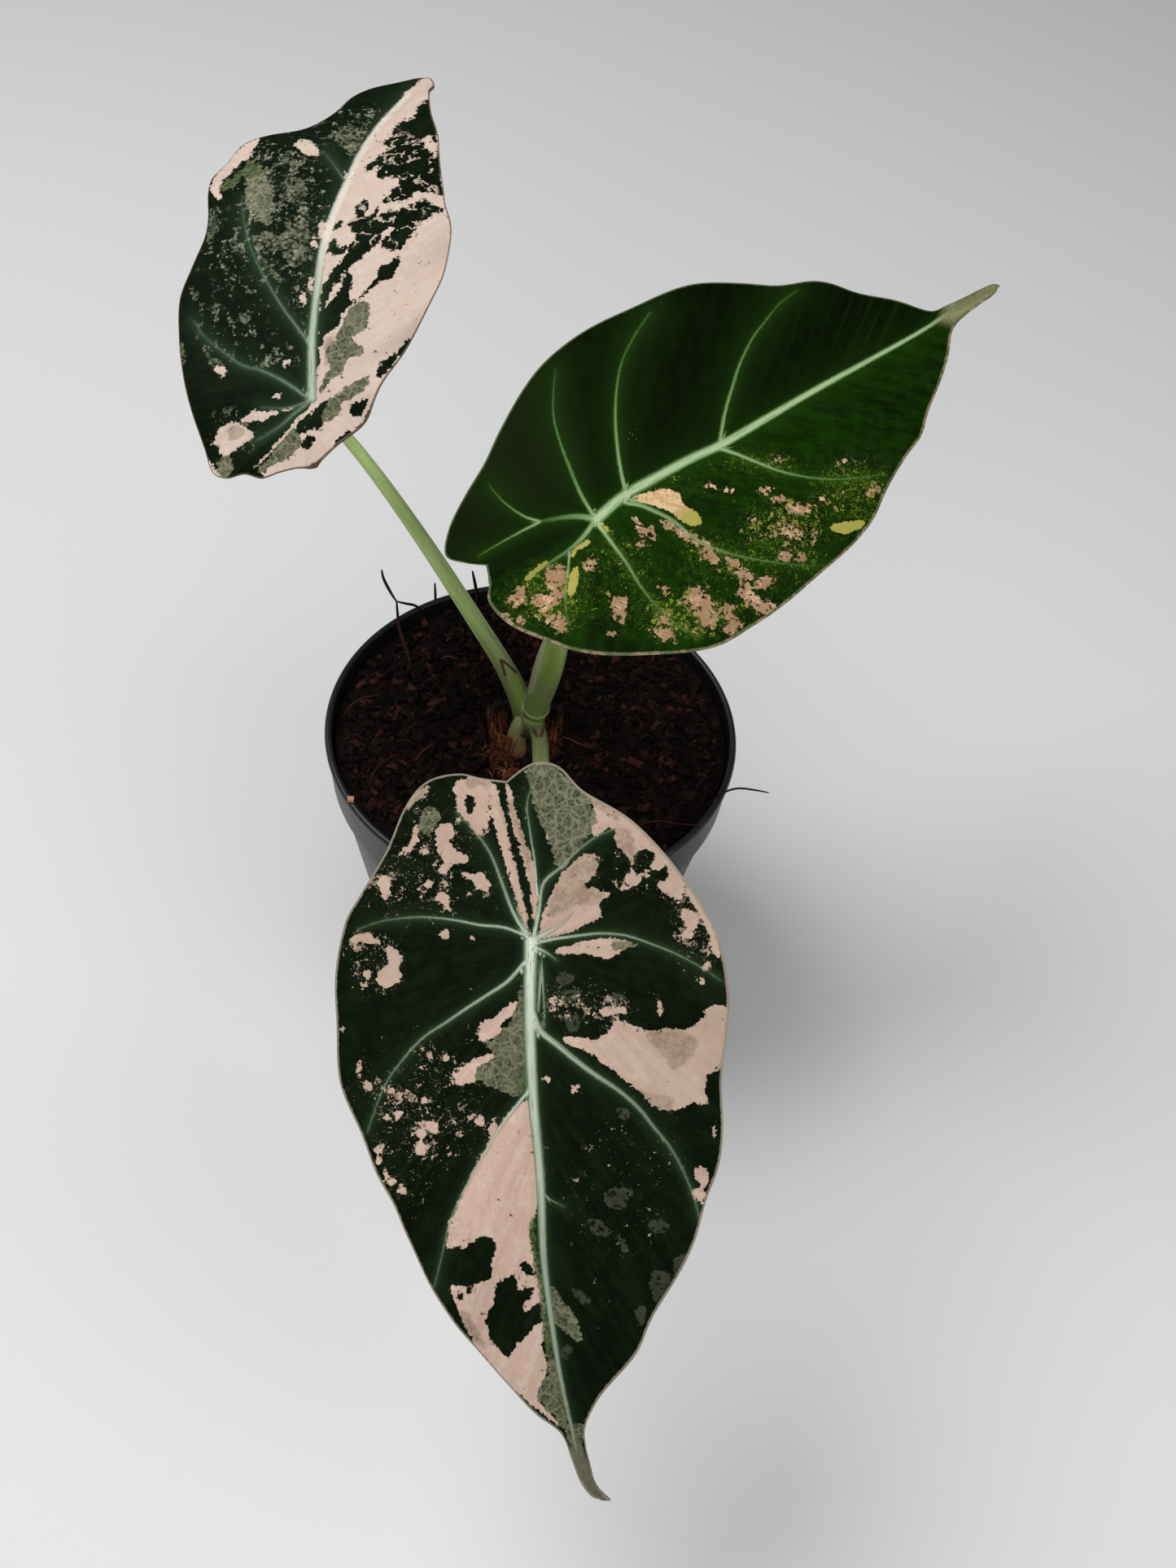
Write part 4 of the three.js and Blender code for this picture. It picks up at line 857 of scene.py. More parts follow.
def nearest_vein(at, veins, look):
    """For the vein whose edge is nearest: depth inside the edge, offset from its middle, with a sign
    for the side, half width and strength.

    The half width shrinks along a vein. A side vein is dimmer and pales from its root to its end.
    """
    depth = np.full(len(at), -FARTHEST_VEIN_PX)
    offset, width_there, strength = np.zeros(len(at)), np.ones(len(at)), np.zeros(len(at))
    for name, (start_width, end_width, line) in veins.items():
        most, loss = (1, look["midrib_loss"]) if name == "midrib" else (look["side_veins"], SIDE_VEIN_LOSS)
        curve, _ = smooth_route(line, np.linspace(0, 1, VEIN_POINTS))
        for i, (a, b) in enumerate(zip(curve[:-1], curve[1:])):
            gap, share = segment_gaps(at, a, b)
            run = (i + share) / (len(curve) - 1)
            width = start_width + (end_width - start_width) * run
            turn = (b[0] - a[0]) * (at[:, 1] - a[1]) - (b[1] - a[1]) * (at[:, 0] - a[0])
            better = width - gap > depth
            depth[better] = (width - gap)[better]
            offset[better] = (np.sign(turn) * gap)[better]
            width_there[better] = width[better]
            strength[better] = (most * (1 - loss * run))[better]
    return depth, offset, width_there, strength


def fleck_density(at, patches):
    """0 to 1: how thickly the small flecks are strewn, thinning out from the middle of each patch."""
    density = np.zeros(len(at))
    for *patch, most in patches.values():
        thinned = np.clip(FLECK_PEAK - FLECK_FALL * reach_in_oval(at, *patch), 0, 1)
        density = np.maximum(density, most * thinned)
    return density


# Blades
def row_at(rows, index):
    """A blade's row at any index, on a smooth curve through the given rows."""
    last = len(rows) - 1
    base = np.minimum(np.floor(index).astype(int), last - 1)
    t = (index - base)[:, None]
    p = [rows[np.clip(base + k, 0, last)] for k in (-1, 0, 1, 2)]
    return catmull(*p, t)


def blade_surface(leaf, index, share):
    """Middle surface of a blade and its upward normal, on a grid of row index by signed share.

    The midrib droops along an arc. Each half rises from it at the fold angle, curls down towards
    its margin, and the margin ripples up and down with the row index.
    """
    rows = np.array(leaf["rows"], float)
    last = len(rows) - 1
    row = row_at(rows, index)
    along = np.where(index <= FAN_ROWS, 0, row[:, 0])
    bent = leaf["bend"] * np.maximum(0, along - leaf["bend_from"]) ** leaf["bend_power"]
    left = share[None, :] < 0
    margin_a = np.where(left, row[:, 1:2], row[:, 3:4])
    margin_b = np.where(left, row[:, 2:3], row[:, 4:5])
    at_tip = (index == last)[:, None]
    middle_a = np.where(at_tip, margin_a, along[:, None])
    middle_b = np.where(at_tip, margin_b, bent[:, None])
    out = np.abs(share)[None, :]
    a = middle_a + (margin_a - middle_a) * out
    b = middle_b + (margin_b - middle_b) * out
    to_margin = np.hypot(margin_a - middle_a, margin_b - middle_b) * (1 - out)

    u, n = unit(leaf["u"]), unit(leaf["n"])
    w = np.cross(u, n)
    droop = np.where(a > 0, leaf["droop_tip"], leaf["droop_back"])
    turn = droop * a
    normal = n * np.cos(turn)[..., None] + u * np.sin(turn)[..., None]
    shift = leaf["bend"] * np.maximum(0, a - leaf["bend_from"]) ** leaf["bend_power"]
    reach, side = np.abs(b - shift), np.sign(b - shift)
    fold, curl = leaf["fold"], leaf["side_curl"]
    tilt = fold - curl * reach
    across = (math.sin(fold) - np.sin(tilt)) / curl
    rise = (np.cos(tilt) - math.cos(fold)) / curl
    point = (np.array(leaf["attach"]) + u * (np.sin(turn) / droop)[..., None]
             - n * ((1 - np.cos(turn)) / droop)[..., None] + w * (shift + side * across)[..., None]
             + normal * rise[..., None])
    face = normal * np.cos(tilt)[..., None] - w * (side * np.sin(tilt))[..., None]
    phase = np.where(left, leaf["wave_phase"][0], leaf["wave_phase"][1])
    ends = np.minimum(1, index / WAVE_STARTS_OVER) * np.minimum(1, (last - index) / WAVE_ENDS_OVER)
    swing = np.sin(2 * math.pi * index[:, None] / leaf["wave_period"] + phase)
    ripple = leaf["wave"] * ends[:, None] * out ** WAVE_POWER * swing
    to_tip = (np.maximum(0, row[:, 0]) / rows[last, 0])[:, None] + 0 * out
    return point + face * ripple[..., None], face, to_margin, to_tip, b - shift


def blade_marks(leaf_name, points):
    """Each marking at each point of a blade: mostly how deep in it the point lies, in mm."""
    marks = MARKINGS[leaf_name]
    seen = to_photo(points)
    vein, offset, width, strength = nearest_vein(seen, marks["veins"], look_of(leaf_name))
    pink = deepest(seen, marks["pink"], marks.get("pink_dots"))
    pink = np.minimum(pink, -deepest(seen, marks.get("dark"), marks.get("dark_dots")))
    pink = np.maximum(pink, deepest(seen, marks.get("pink_again")))
    depths = {"vein": vein, "vein_offset": offset, "vein_width": width, "pink": pink}
    for key in ("net", "grey", "veil", "lime", "cream"):
        depths[key] = deepest(seen, marks.get(key))
    made = {key: depth / PX_PER_MM for key, depth in depths.items()}
    made.update({"vein_strength": strength, "flecks": fleck_density(seen, marks["flecks"])})
    return made


def build_blade(name, upper_material, lower_material):
    """Two skins, half the thickness above and below the middle surface, joined at the margins.

    The upper one swells between the veins and has a groove along each of them. The lower one has a
    rib under each vein. Grooves and ribs are bell curves of the distance from the vein.
    """
    leaf = LEAVES[name]
    index = np.linspace(0, len(leaf["rows"]) - 1, BLADE_ROWS)
    half = np.linspace(0, 1, BLADE_HALF_COLUMNS + 1)[1:] ** COLUMN_POWER
    share = np.concatenate([-half[::-1], [0], half])
    surface, face, to_margin, to_tip, off_midrib = blade_surface(leaf, index, share)
    flat, normals = surface.reshape(-1, 3), face.reshape(-1, 3)
    marks = blade_marks(name, flat)
    ray = index[:, None] + 0 * share
    for key, values in (("edge", to_margin), ("ray", ray), ("off", off_midrib), ("to_tip", to_tip)):
        marks[key] = values.ravel()

    gap = np.maximum(0, -marks["vein"])
    inner = np.clip(marks["edge"] / MARGIN_FADE, 0, 1)
    quilt = QUILT_HEIGHT * (1 - np.exp(-gap / QUILT_REACH)) * inner
    relief = quilt - GROOVE_DEPTH * bell(gap, GROOVE_REACH) * inner
    midrib = MIDRIB_DEPTH * (1 - MIDRIB_THINNING * to_tip) * bell(off_midrib, MIDRIB_REACH)
    midrib[-1] = 0
    thinned = (1 - SIDE_VEIN_THINNING * np.abs(share)[None, :] + 0 * to_tip).ravel()
    rib = np.maximum(midrib.ravel(), SIDE_VEIN_DEPTH * bell(gap, SIDE_VEIN_REACH) * inner * thinned)
    upper = flat + normals * (BLADE_THICKNESS / 2 + relief - UPPER_SINK * inner)[:, None]
    lower = flat - normals * (BLADE_THICKNESS / 2 + rib)[:, None]

    wide, size = len(share), len(flat)
    top = grid_faces(BLADE_ROWS, wide)
    bottom = top[:, ::-1] + size
    left = np.arange(BLADE_ROWS - 1) * wide
    right = left + wide - 1
    left_rim = np.stack([left + size, left + wide + size, left + wide, left], -1)
    right_rim = np.stack([right, right + wide, right + wide + size, right + size], -1)
    faces = np.concatenate([top, bottom, left_rim, right_rim]).tolist()
    both = {key: np.concatenate([values, values]) for key, values in marks.items()}
    made = make_mesh("leaf_" + name, np.concatenate([upper, lower]), faces, upper_material,
                     sharp_degrees=BLADE_SHARP_DEGREES, attributes=both)
    made.data.materials.append(lower_material)
    which = np.zeros(len(faces), dtype=np.int32)
    which[len(top):len(top) + len(bottom)] = 1
    made.data.polygons.foreach_set("material_index", which)
    return belongs(made, "blade", "blade_" + name)


# Looks of the upper sides, for the front, right and left leaf: colours as display values
COLOURS = {
    "dark": ((7, 14, 4), (3, 8, 1), (7, 15, 5)),
    "dark_light": ((14, 24, 10), (8, 16, 2), (13, 23, 10)),
    "glow": ((44, 66, 40), (30, 58, 8), (52, 74, 52)),
    "haze": ((46, 62, 42), (25, 50, 7), (44, 62, 44)),
    "vein": ((80, 100, 74), (58, 96, 34), (76, 96, 72)),
    "vein_pale": ((204, 210, 194), (172, 192, 150), (160, 172, 154)),
    "pink": ((190, 166, 150), (200, 166, 138), (184, 168, 155)),
    "pink_warm": ((176, 148, 132), (168, 132, 98), (178, 158, 144)),
    "pink_pale": ((200, 182, 166), (208, 182, 152), (192, 180, 168)),
    "fleck": ((182, 156, 138), (162, 132, 90), (132, 128, 110)),
    "fleck_dull": ((112, 106, 86), (112, 116, 44), (84, 88, 68)),
    "grey": ((68, 70, 58), (60, 70, 40), (98, 100, 82)),
    "grey_low": ((62, 64, 52), (54, 64, 36), (60, 66, 50)),
    "margin": ((134, 126, 110), (88, 96, 66), (92, 74, 60)),
    "tail": ((98, 96, 80), (138, 140, 98), (104, 78, 62)),
}
# The same for reaches and widths in mm, and for shares from 0 to about 1
MEASURES = {
    "glow_reach": (0.55, 0.8, 1.2), "glow_most": (0.55, 0.5, 0.4),
    "haze_reach": (2.4, 6.0, 3.0), "haze_most": (0.16, 0.42, 0.10),
    "side_veins": (0.84, 0.8, 0.58), "midrib_loss": (0.46, 0.12, 0.1), "vein_soft": (0.16, 0.16, 0.42),
    "grey_most": (0.6, 0.75, 0.8), "grey_fill": (0.66, 0.66, 0.57),
    "jag": (0.6, 1.05, 0.65), "holes": (0.04, 0.13, 0.04),
    "near_flecks": (0.35, 0.5, 0.35), "fleck_share": (1.0, 0.72, 0.85),
    "margin_left": (0.75, 0.45, 0.3), "margin_right": (0.55, 0.85, 0.5),
    "tail_from": (0.86, 0.765, 0.978), "tail_to": (0.91, 0.83, 0.995),
}


def look_of(leaf_name):
    """One leaf's colours, as linear light, and its measures."""
    place = list(LEAVES).index(leaf_name)
    look = {key: srgb(*values[place]) for key, values in COLOURS.items()}
    look.update({key: values[place] for key, values in MEASURES.items()})
    return look


VEIL_DARK = srgb(116, 100, 82)
VEIL = srgb(150, 130, 112)
NET_GROUND = srgb(54, 58, 42)
NET_GROUND_LIGHTER = srgb(78, 80, 62)
NET_LINE = srgb(118, 118, 94)
LIME = srgb(52, 64, 34)
LIME_PALE = srgb(90, 98, 66)
CREAM = srgb(200, 172, 132)
CREAM_BROWN = srgb(172, 140, 96)
CREAM_GREEN = srgb(142, 140, 56)
LEAF_GREEN = srgb(15, 42, 1)
LEAF_GREEN_LIGHT = srgb(34, 66, 4)
SPECK_LIME = srgb(128, 150, 44)


class LeafKit(Kit):
    """The node tree of a leaf's upper side, with the noises and marks that its layers share."""

    def __init__(self, name, leaf_name):
        super().__init__(name)
        self.leaf = leaf_name
        self.look = look_of(leaf_name)
        self.fine = self.noise(1.1, 5, 0.62)
        self.middling = self.noise(0.55, 4, 0.55)
        self.broad = self.noise(0.30, 3, 0.6)
        self.tiny = self.noise(5.0, 3, 0.7)
        self.speck = self.noise(0.42, 7, 0.72)
        self.shaken = self.warped(0.9, 5.0)
        self.vein, self.edge, self.off, self.ray, self.flecks, self.to_tip = (
            self.attribute(key) for key in ("vein", "edge", "off", "ray", "flecks", "to_tip"))
        self.gap = (self.vein * -1).most(0)
        self.streaks = self.noise(1.0, 3, 0.6, vector=self.vector(self.ray * 3.0, self.off * 0.12))
        self.lines = self.cracks(0.42, self.warped(0.6, 2.4), 0.02, 0.12)
        self.threads = self.cracks(0.95, self.warped(1.2, 1.2), 0.02, 0.16)
        ragged = (self.middling * 2.6 + self.fine * 2.6) * self.look["jag"]
        self.wander = self.broad * 1.6 + ragged + self.tiny * 0.3
        net_depth = self.attribute("net") + self.wander
        self.net = net_depth.ramp(-0.08, 0.12)
        self.pink_depth = (self.attribute("pink") + self.wander).least(net_depth * -1)


def green_half(kit, colour):
    """The right leaf's lower half: mid green with soft rays, strewn with yellow-green specks."""
    fine, flecks = kit.fine, kit.flecks
    lower = (kit.off + kit.broad * 6).ramp(-1, 2.5)
    soft = (kit.streaks * 1.8 + kit.broad * 1.3 + fine * (flecks * 1.2 + 0.3) + 0.5).ramp(0.2, 0.85)
    colour = kit.mix(lower, colour, kit.mix(soft, srgb(8, 21, 1), LEAF_GREEN))
    light = (kit.noise(0.5, 7, 0.75) + flecks * 0.05 - 0.06).ramp(0.0, 0.08)
    colour = kit.mix(light * lower * flecks.ramp(0.0, 0.45) * 0.6, colour, LEAF_GREEN_LIGHT)
    by_veins = kit.gap.fall(1.6) * flecks.ramp(0.0, 0.35) * 0.6
    large = kit.spots(0.7, flecks * 0.9 + by_veins, kit.shaken)
    small = kit.spots(1.7, flecks + by_veins, kit.shaken)
    speck_tone = kit.mix((fine * 3 + 0.66).ramp(0.2, 0.8), LEAF_GREEN_LIGHT, SPECK_LIME)
    return kit.mix(large.most(small) * 0.9, colour, speck_tone)


def velvet(kit):
    """Green-black in soft streaks, glowing green beside the veins."""
    look = kit.look
    colour = kit.mix((kit.streaks * 1.4 + kit.broad + 0.5).ramp(0.3, 0.8), look["dark"], look["dark_light"])
    if kit.leaf == "right":
        back = (1 - kit.to_tip.ramp(0.0, 0.02)) * (1 - kit.off.ramp(-16, -2))
        colour = green_half(kit, kit.mix(back * 0.55, colour, srgb(22, 28, 10)))
        rays = kit.noise(1.0, 2, 0.5, vector=kit.vector(kit.ray * 4.0, kit.off * 0.04))
        faint = rays.ramp(0.02, 0.16) * kit.to_tip.ramp(0.2, 0.6)
        colour = kit.mix(faint * 0.6, colour, srgb(18, 42, 4))
    colour = kit.mix(kit.gap.fall(look["glow_reach"]) * look["glow_most"], colour, look["glow"])
    return kit.mix(kit.gap.fall(look["haze_reach"]) * look["haze_most"], colour, look["haze"])


def grey_and_net(kit, colour):
    """Broken grey-green clouds, then sectors of grey-green netting."""
    look, fine, broad = kit.look, kit.fine, kit.broad
    cloud = (kit.attribute("grey") + kit.wander).ramp(-0.15, 0.2)
    cloud = cloud * (fine * 3 + kit.speck * 3 + look["grey_fill"]).ramp(0.25, 0.55)
    tone = kit.mix((broad * 3 + kit.middling * 2 + 0.5).ramp(0.3, 0.7), look["grey_low"], look["grey"])
    colour = kit.mix(cloud * look["grey_most"], colour, tone)
    ground = kit.mix((broad * 1.6 + fine * 1.6 + 0.5).ramp(0.3, 0.7), NET_GROUND, NET_GROUND_LIGHTER)
    netting = kit.mix(kit.lines.most(kit.threads * 0.5) * 0.8, ground, NET_LINE)
    return kit.mix(kit.net, colour, netting)


def strewn_flecks(kit, colour):
    """Separate flecks, thickest near the pink patches, and the left leaf's pale mottling."""
    look, fine, flecks = kit.look, kit.fine, kit.flecks
    near = (1 - kit.pink_depth.math("ABSOLUTE").ramp(0.0, 3.0)) * look["near_flecks"]
    share = flecks * look["fleck_share"] + near * flecks.ramp(0.0, 0.4)
    if kit.leaf == "left":
        share = share * (1 - kit.off.ramp(0.0, 2.0) * 0.6)
        patchy = kit.noise(0.28, 4, 0.6, stretch=(1.6, 0.8, 0.8))
        mottle = (patchy * 0.45 + kit.speck + fine * 0.3 + flecks * 0.05 - 0.11).ramp(0.0, 0.035)
        mottle = mottle * flecks.ramp(0.1, 0.6) * (1 - kit.off.ramp(-3, -1))
        pale_bits = (kit.tiny * 0.6 + fine * 1.6 + kit.middling + 0.46).ramp(0.5, 0.62)
        mottle_tone = kit.mix(pale_bits * 0.7, look["grey"], srgb(150, 146, 130))
        colour = kit.mix(mottle * 0.7, colour, mottle_tone)
    strewn = kit.spots(0.42, share, kit.shaken).most(kit.spots(1.15, share * 0.85, kit.shaken))
    tone = kit.mix((kit.broad * 2 + fine * 2.5 + 0.5).ramp(0.3, 0.7), look["fleck_dull"], look["fleck"])
    return kit.mix(strewn * 0.88, colour, tone)


def cream_patch(kit, colour):
    """The right leaf's cream stripe: tan in streaks, greener to one side and behind."""
    fine, broad = kit.fine, kit.broad
    calm = broad + fine * 1.6 + kit.tiny * 0.3
    cream = (kit.attribute("cream") + calm).ramp(-0.08, 0.12)
    tan = kit.mix((kit.streaks * 2.4 + fine * 2 + 0.5).ramp(0.25, 0.75), CREAM_BROWN, CREAM)
    green_side = (kit.off + fine * 14 + broad * 12).ramp(6.5, 11).most(1 - kit.to_tip.ramp(0.0, 0.03))
    return kit.mix(cream, colour, kit.mix(green_side * 0.85, tan, CREAM_GREEN))


def pink_mask(kit):
    """1 in the pink patches, with small holes near their edges; the left leaf's run along channels."""
    grain = kit.speck * 0.6 + kit.fine * 0.8 if kit.leaf == "right" else kit.speck
    near_edge = 1 - kit.pink_depth.ramp(0.2, 2.5)
    holes = ((grain * -1) + near_edge * kit.look["holes"] - 0.15).ramp(0.0, 0.025)
    patch = kit.pink_depth.ramp(-0.05, 0.08) * (1 - holes)
    if kit.leaf == "left":
        channels = kit.cracks(0.21, kit.warped(0.4, 5.0), 0.05, 0.075)
        channels = channels * (kit.middling * 4 + kit.broad * 4 + 0.5).ramp(0.4, 0.5)
        inner = kit.off.ramp(0.5, 2.0) * (kit.edge - 1.0).ramp(0.0, 1.0)
        patch = patch.most(channels * kit.flecks.ramp(0.3, 0.6) * inner)
    return patch


def pink_tone(kit):
    """Pink in warm and pale streaks, veiled brown or grey in places and dull along its edges."""
    look, fine, broad, to_tip = kit.look, kit.fine, kit.broad, kit.to_tip
    colour = kit.mix((kit.streaks * 1.4 + fine * 0.8 + 0.5).ramp(0.1, 0.9), look["pink_warm"], look["pink"])
    colour = kit.mix((broad * 1.6 + kit.tiny * 0.5 + 0.5).ramp(0.5, 1.0) * 0.7, colour, look["pink_pale"])
    if kit.leaf == "right":
        brown = kit.noise(0.2, 4, 0.65) * 3 + fine * 2 + 0.66 - to_tip.ramp(0.0, 0.12) * 0.34
        colour = kit.mix(brown.ramp(0.4, 0.66) * 0.7, colour, srgb(124, 96, 60))
    if kit.leaf == "front":
        colour = kit.mix((1 - to_tip.ramp(0.0, 0.12)) * 0.4, colour, VEIL)
    veil = (kit.attribute("veil") + kit.wander * 1.3).ramp(-0.3, 0.4)
    veil_tone = kit.mix((kit.tiny * 0.4 + fine * 1.4 + broad * 1.5 + 0.5).ramp(0.25, 0.75), VEIL_DARK, VEIL)
    colour = kit.mix(veil * 0.75, colour, veil_tone)
    colour = kit.mix((1 - kit.pink_depth.ramp(0.0, 0.3)) * 0.4, colour, srgb(120, 110, 92))
    return kit.mix(kit.lines.most(kit.threads * 0.5) * 0.08, colour, srgb(150, 122, 108))


def vein_layer(kit, colour):
    """Veins with soft edges and a paler stranded core; returns their mask and the colour."""
    look, soft = kit.look, kit.look["vein_soft"]
    width, strength, offset = (kit.attribute("vein_" + key) for key in ("width", "strength", "offset"))
    inside = (width - offset.math("ABSOLUTE")).least(kit.vein + 0.65)
    mask = (inside + kit.fine * 0.8 + kit.tiny * 0.3).ramp(-soft, soft + 0.04)
    strands = kit.noise(1.0, 3, 0.6, vector=kit.vector(offset * 3.2, kit.ray * 0.8, kit.off * 0.05))
    core = (inside / width).ramp(0.0, 0.8) * strength ** 1.6 * (strands * 2.4 + 0.86).ramp(0.2, 0.9)
    tone = kit.mix(core, look["vein"], look["vein_pale"])
    if kit.leaf == "left":
        far_midrib = kit.to_tip.ramp(0.2, 0.42) * strength.ramp(0.55, 0.7)
        tone = kit.mix(far_midrib, tone, srgb(192, 186, 174))
    return mask, kit.mix(mask * (0.25 + strength * 0.68), colour, tone)


def tail_and_margin(kit, colour):
    """A dull drip tip and a thin pale line along the margin, wider on one side."""
    look, fine = kit.look, kit.fine
    tail_tone = kit.mix((fine * 2.5 + 0.5).ramp(0.2, 0.8) * 0.35, look["tail"], srgb(66, 62, 44))
    colour = kit.mix(kit.to_tip.ramp(look["tail_from"], look["tail_to"]) * 0.9, colour, tail_tone)
    side = kit.off.ramp(-0.5, 0.5)
    band = kit.edge / (side * (look["margin_right"] - look["margin_left"]) + look["margin_left"])
    rim = 1 - (band + fine * 1.2).ramp(0.55, 1.15)
    margin = look["margin"]
    if kit.leaf == "right":
        warm = (kit.broad * 5 + fine * 3 + 0.4).ramp(0.4, 0.6) * side
        margin = kit.mix(warm * 0.6, margin, srgb(168, 138, 112))
    return kit.mix(rim * 0.85, colour, margin)


def blade_upper(name, leaf_name):
    """Velvet green-black, crisp pink patches, netted grey-green sectors, mint veins, strewn specks."""
    kit = LeafKit(name, leaf_name)
    colour = strewn_flecks(kit, grey_and_net(kit, velvet(kit)))
    if leaf_name == "right":
        colour = cream_patch(kit, colour)
    patch = pink_mask(kit)
    colour = kit.mix(patch, colour, pink_tone(kit))
    if leaf_name != "right":
        lime = (kit.attribute("lime") + kit.wander).ramp(-0.2, 0.2)
        lime_tone = kit.mix((kit.tiny + kit.fine * 2.4 + 0.5).ramp(0.3, 0.75), LIME, LIME_PALE)
        colour = kit.mix(lime * 0.8, colour, lime_tone)
    vein_mask, colour = vein_layer(kit, colour)
    colour = tail_and_margin(kit, colour)
    pale = patch.most(vein_mask).most(kit.net * 0.6)
    pores = kit.tiny * 0.5 + kit.noise(14.0, 2, 0.6) * 0.5
    bump = kit.bump(pores + kit.threads * kit.net * -0.6 + kit.streaks * 0.3, 0.12, 0.6)
    return kit.surface(colour, 0.58 + pale * 0.05 + kit.fine * 0.10, bump, 0.02)


def blade_lower(name):
    """Matt grey-green underside, paler ribs, the pink patches showing through."""
    kit = Kit(name)
    fine = kit.noise(1.5, 4, 0.6)
    broad = kit.noise(0.3, 3, 0.6)
    colour = kit.mix((broad + 0.5).ramp(0.2, 0.8), srgb(84, 100, 78), srgb(104, 118, 94))
    patch = (kit.attribute("pink") + broad * 2 + fine * 1.5).ramp(-0.6, 0.6)
    colour = kit.mix(patch * 0.6, colour, srgb(186, 162, 146))
    threads = kit.cracks(0.3, kit.warped(0.6, 4.0), 0.01, 0.08)
    colour = kit.mix(threads * 0.22, colour, srgb(150, 160, 132))
    vein_mask = (kit.attribute("vein") + 0.3).ramp(-0.2, 0.3)
    colour = kit.mix(vein_mask * 0.85, colour, srgb(172, 186, 150))
    return kit.surface(colour, 0.62 + fine * 0.1, kit.bump(fine + broad, 0.3, 0.5), 0.35)


# Pot
RIM_RADIUS = 57.5
BASE_RADIUS = 40.0
POT_HEIGHT = 92.0
WALL = 1.4
FLOOR_THICKNESS = 1.6
FOOT_BEVEL = 1.2
COLLAR_Z = 77.0
LIP_WIDTH = 2.2
LIP_Z = 89.8
COLLAR_TOP_RADIUS = 56.8
COLLAR_FOOT_RADIUS = 55.7
WALL_TOP_RADIUS = 54.2
LIP_INNER_RADIUS = 55.3
FLOOR_RADIUS = 38.2
DRAIN_HOLES = 6
DRAIN_RADIUS = 4.0
DRAIN_CIRCLE = 27.0
POT_SEGMENTS = 192
DRAIN_SEGMENTS = 32
POT_SHARP_DEGREES = 38
# The wall's outline as (radius, z): up the outside, over the lip and down the inside
POT_OUTSIDE = [
    (BASE_RADIUS - FOOT_BEVEL, 0), (BASE_RADIUS, FOOT_BEVEL), (WALL_TOP_RADIUS, COLLAR_Z - 1),
    (COLLAR_FOOT_RADIUS, COLLAR_Z), (COLLAR_TOP_RADIUS, LIP_Z), (RIM_RADIUS, LIP_Z + 0.88),
    (RIM_RADIUS - 0.4, POT_HEIGHT - 0.3), (RIM_RADIUS - LIP_WIDTH / 2, POT_HEIGHT),
    (LIP_INNER_RADIUS + 0.2, POT_HEIGHT - 0.4)]
POT_INSIDE = [
    (LIP_INNER_RADIUS, LIP_Z), (COLLAR_FOOT_RADIUS - WALL, COLLAR_Z + 1),
    (WALL_TOP_RADIUS - WALL, COLLAR_Z - 1.5), (FLOOR_RADIUS, FLOOR_THICKNESS)]


def circle(radius, count, z=0.0, middle=(0, 0)):
    """Points evenly spaced round a level circle."""
    return oval(middle, radius, 1, turns(count), z)


def rounded_profile(corners, rounding=0.35):
    """Each corner of a profile in (radius, z) is cut by a small arc of four points."""
    made = [corners[0]]
    for before, corner, after in zip(corners[:-2], corners[1:-1], corners[2:]):
        before, corner, after = (np.array(p, float) for p in (before, corner, after))
        reach = min(rounding, 0.4 * np.linalg.norm(before - corner), 0.4 * np.linalg.norm(after - corner))
        start, end = corner + unit(before - corner) * reach, corner + unit(after - corner) * reach
        for t in (0, 0.33, 0.67, 1):
            made.append(tuple((1 - t) ** 2 * start + 2 * t * (1 - t) * corner + t * t * end))
    made.append(corners[-1])
    return made


def drain_middle(i):
    angle = 2 * math.pi * (i + 0.5) / DRAIN_HOLES
    return DRAIN_CIRCLE * math.cos(angle), DRAIN_CIRCLE * math.sin(angle)


def base_plate(radius, z, upward):
    """A flat disc with the drain holes left open."""
    middles = np.array([drain_middle(i) for i in range(DRAIN_HOLES)])
    loops = [circle(radius, POT_SEGMENTS)]
    loops += [circle(DRAIN_RADIUS, DRAIN_SEGMENTS, 0, middle) for middle in middles]
    points, edges = [], []
    for loop in loops:
        first, count = len(points), len(loop)
        points += [Vector(p[:2]) for p in loop]
        edges += [(first + i, first + (i + 1) % count) for i in range(count)]
    spots, _, triangles, _, _, _ = delaunay_2d_cdt(points, edges, [], 0, 1e-5)
    flat = np.array([tuple(p) for p in spots])
    kept = []
    for triangle in triangles:
        away = np.linalg.norm(middles - flat[list(triangle)].mean(0), axis=1)
        if away.min() > DRAIN_RADIUS * 0.99:
            kept.append(list(triangle) if upward else list(triangle)[::-1])
    return np.column_stack([flat, np.full(len(flat), z)]), kept


def build_pot(material):
    """The wall's outline turned about the axis, two base plates, and a short wall in each hole."""
    profile = rounded_profile(POT_OUTSIDE + POT_INSIDE)
    rings = np.stack([circle(r, POT_SEGMENTS, z) for r, z in profile])
    parts = [(rings.reshape(-1, 3), grid_faces(len(profile), POT_SEGMENTS, wrap=True).tolist()),
             base_plate(BASE_RADIUS - FOOT_BEVEL, 0, False),
             base_plate(FLOOR_RADIUS, FLOOR_THICKNESS, True)]
    hole_faces = grid_faces(2, DRAIN_SEGMENTS, wrap=True).tolist()
    for i in range(DRAIN_HOLES):
        wall = [circle(DRAIN_RADIUS, DRAIN_SEGMENTS, z, drain_middle(i)) for z in (FLOOR_THICKNESS, 0)]
        parts.append((np.concatenate(wall), hole_faces))
    made = make_mesh("nursery_pot", *join_parts(parts), material, sharp_degrees=POT_SHARP_DEGREES)
    return belongs(made, "pot_plastic", "pot")


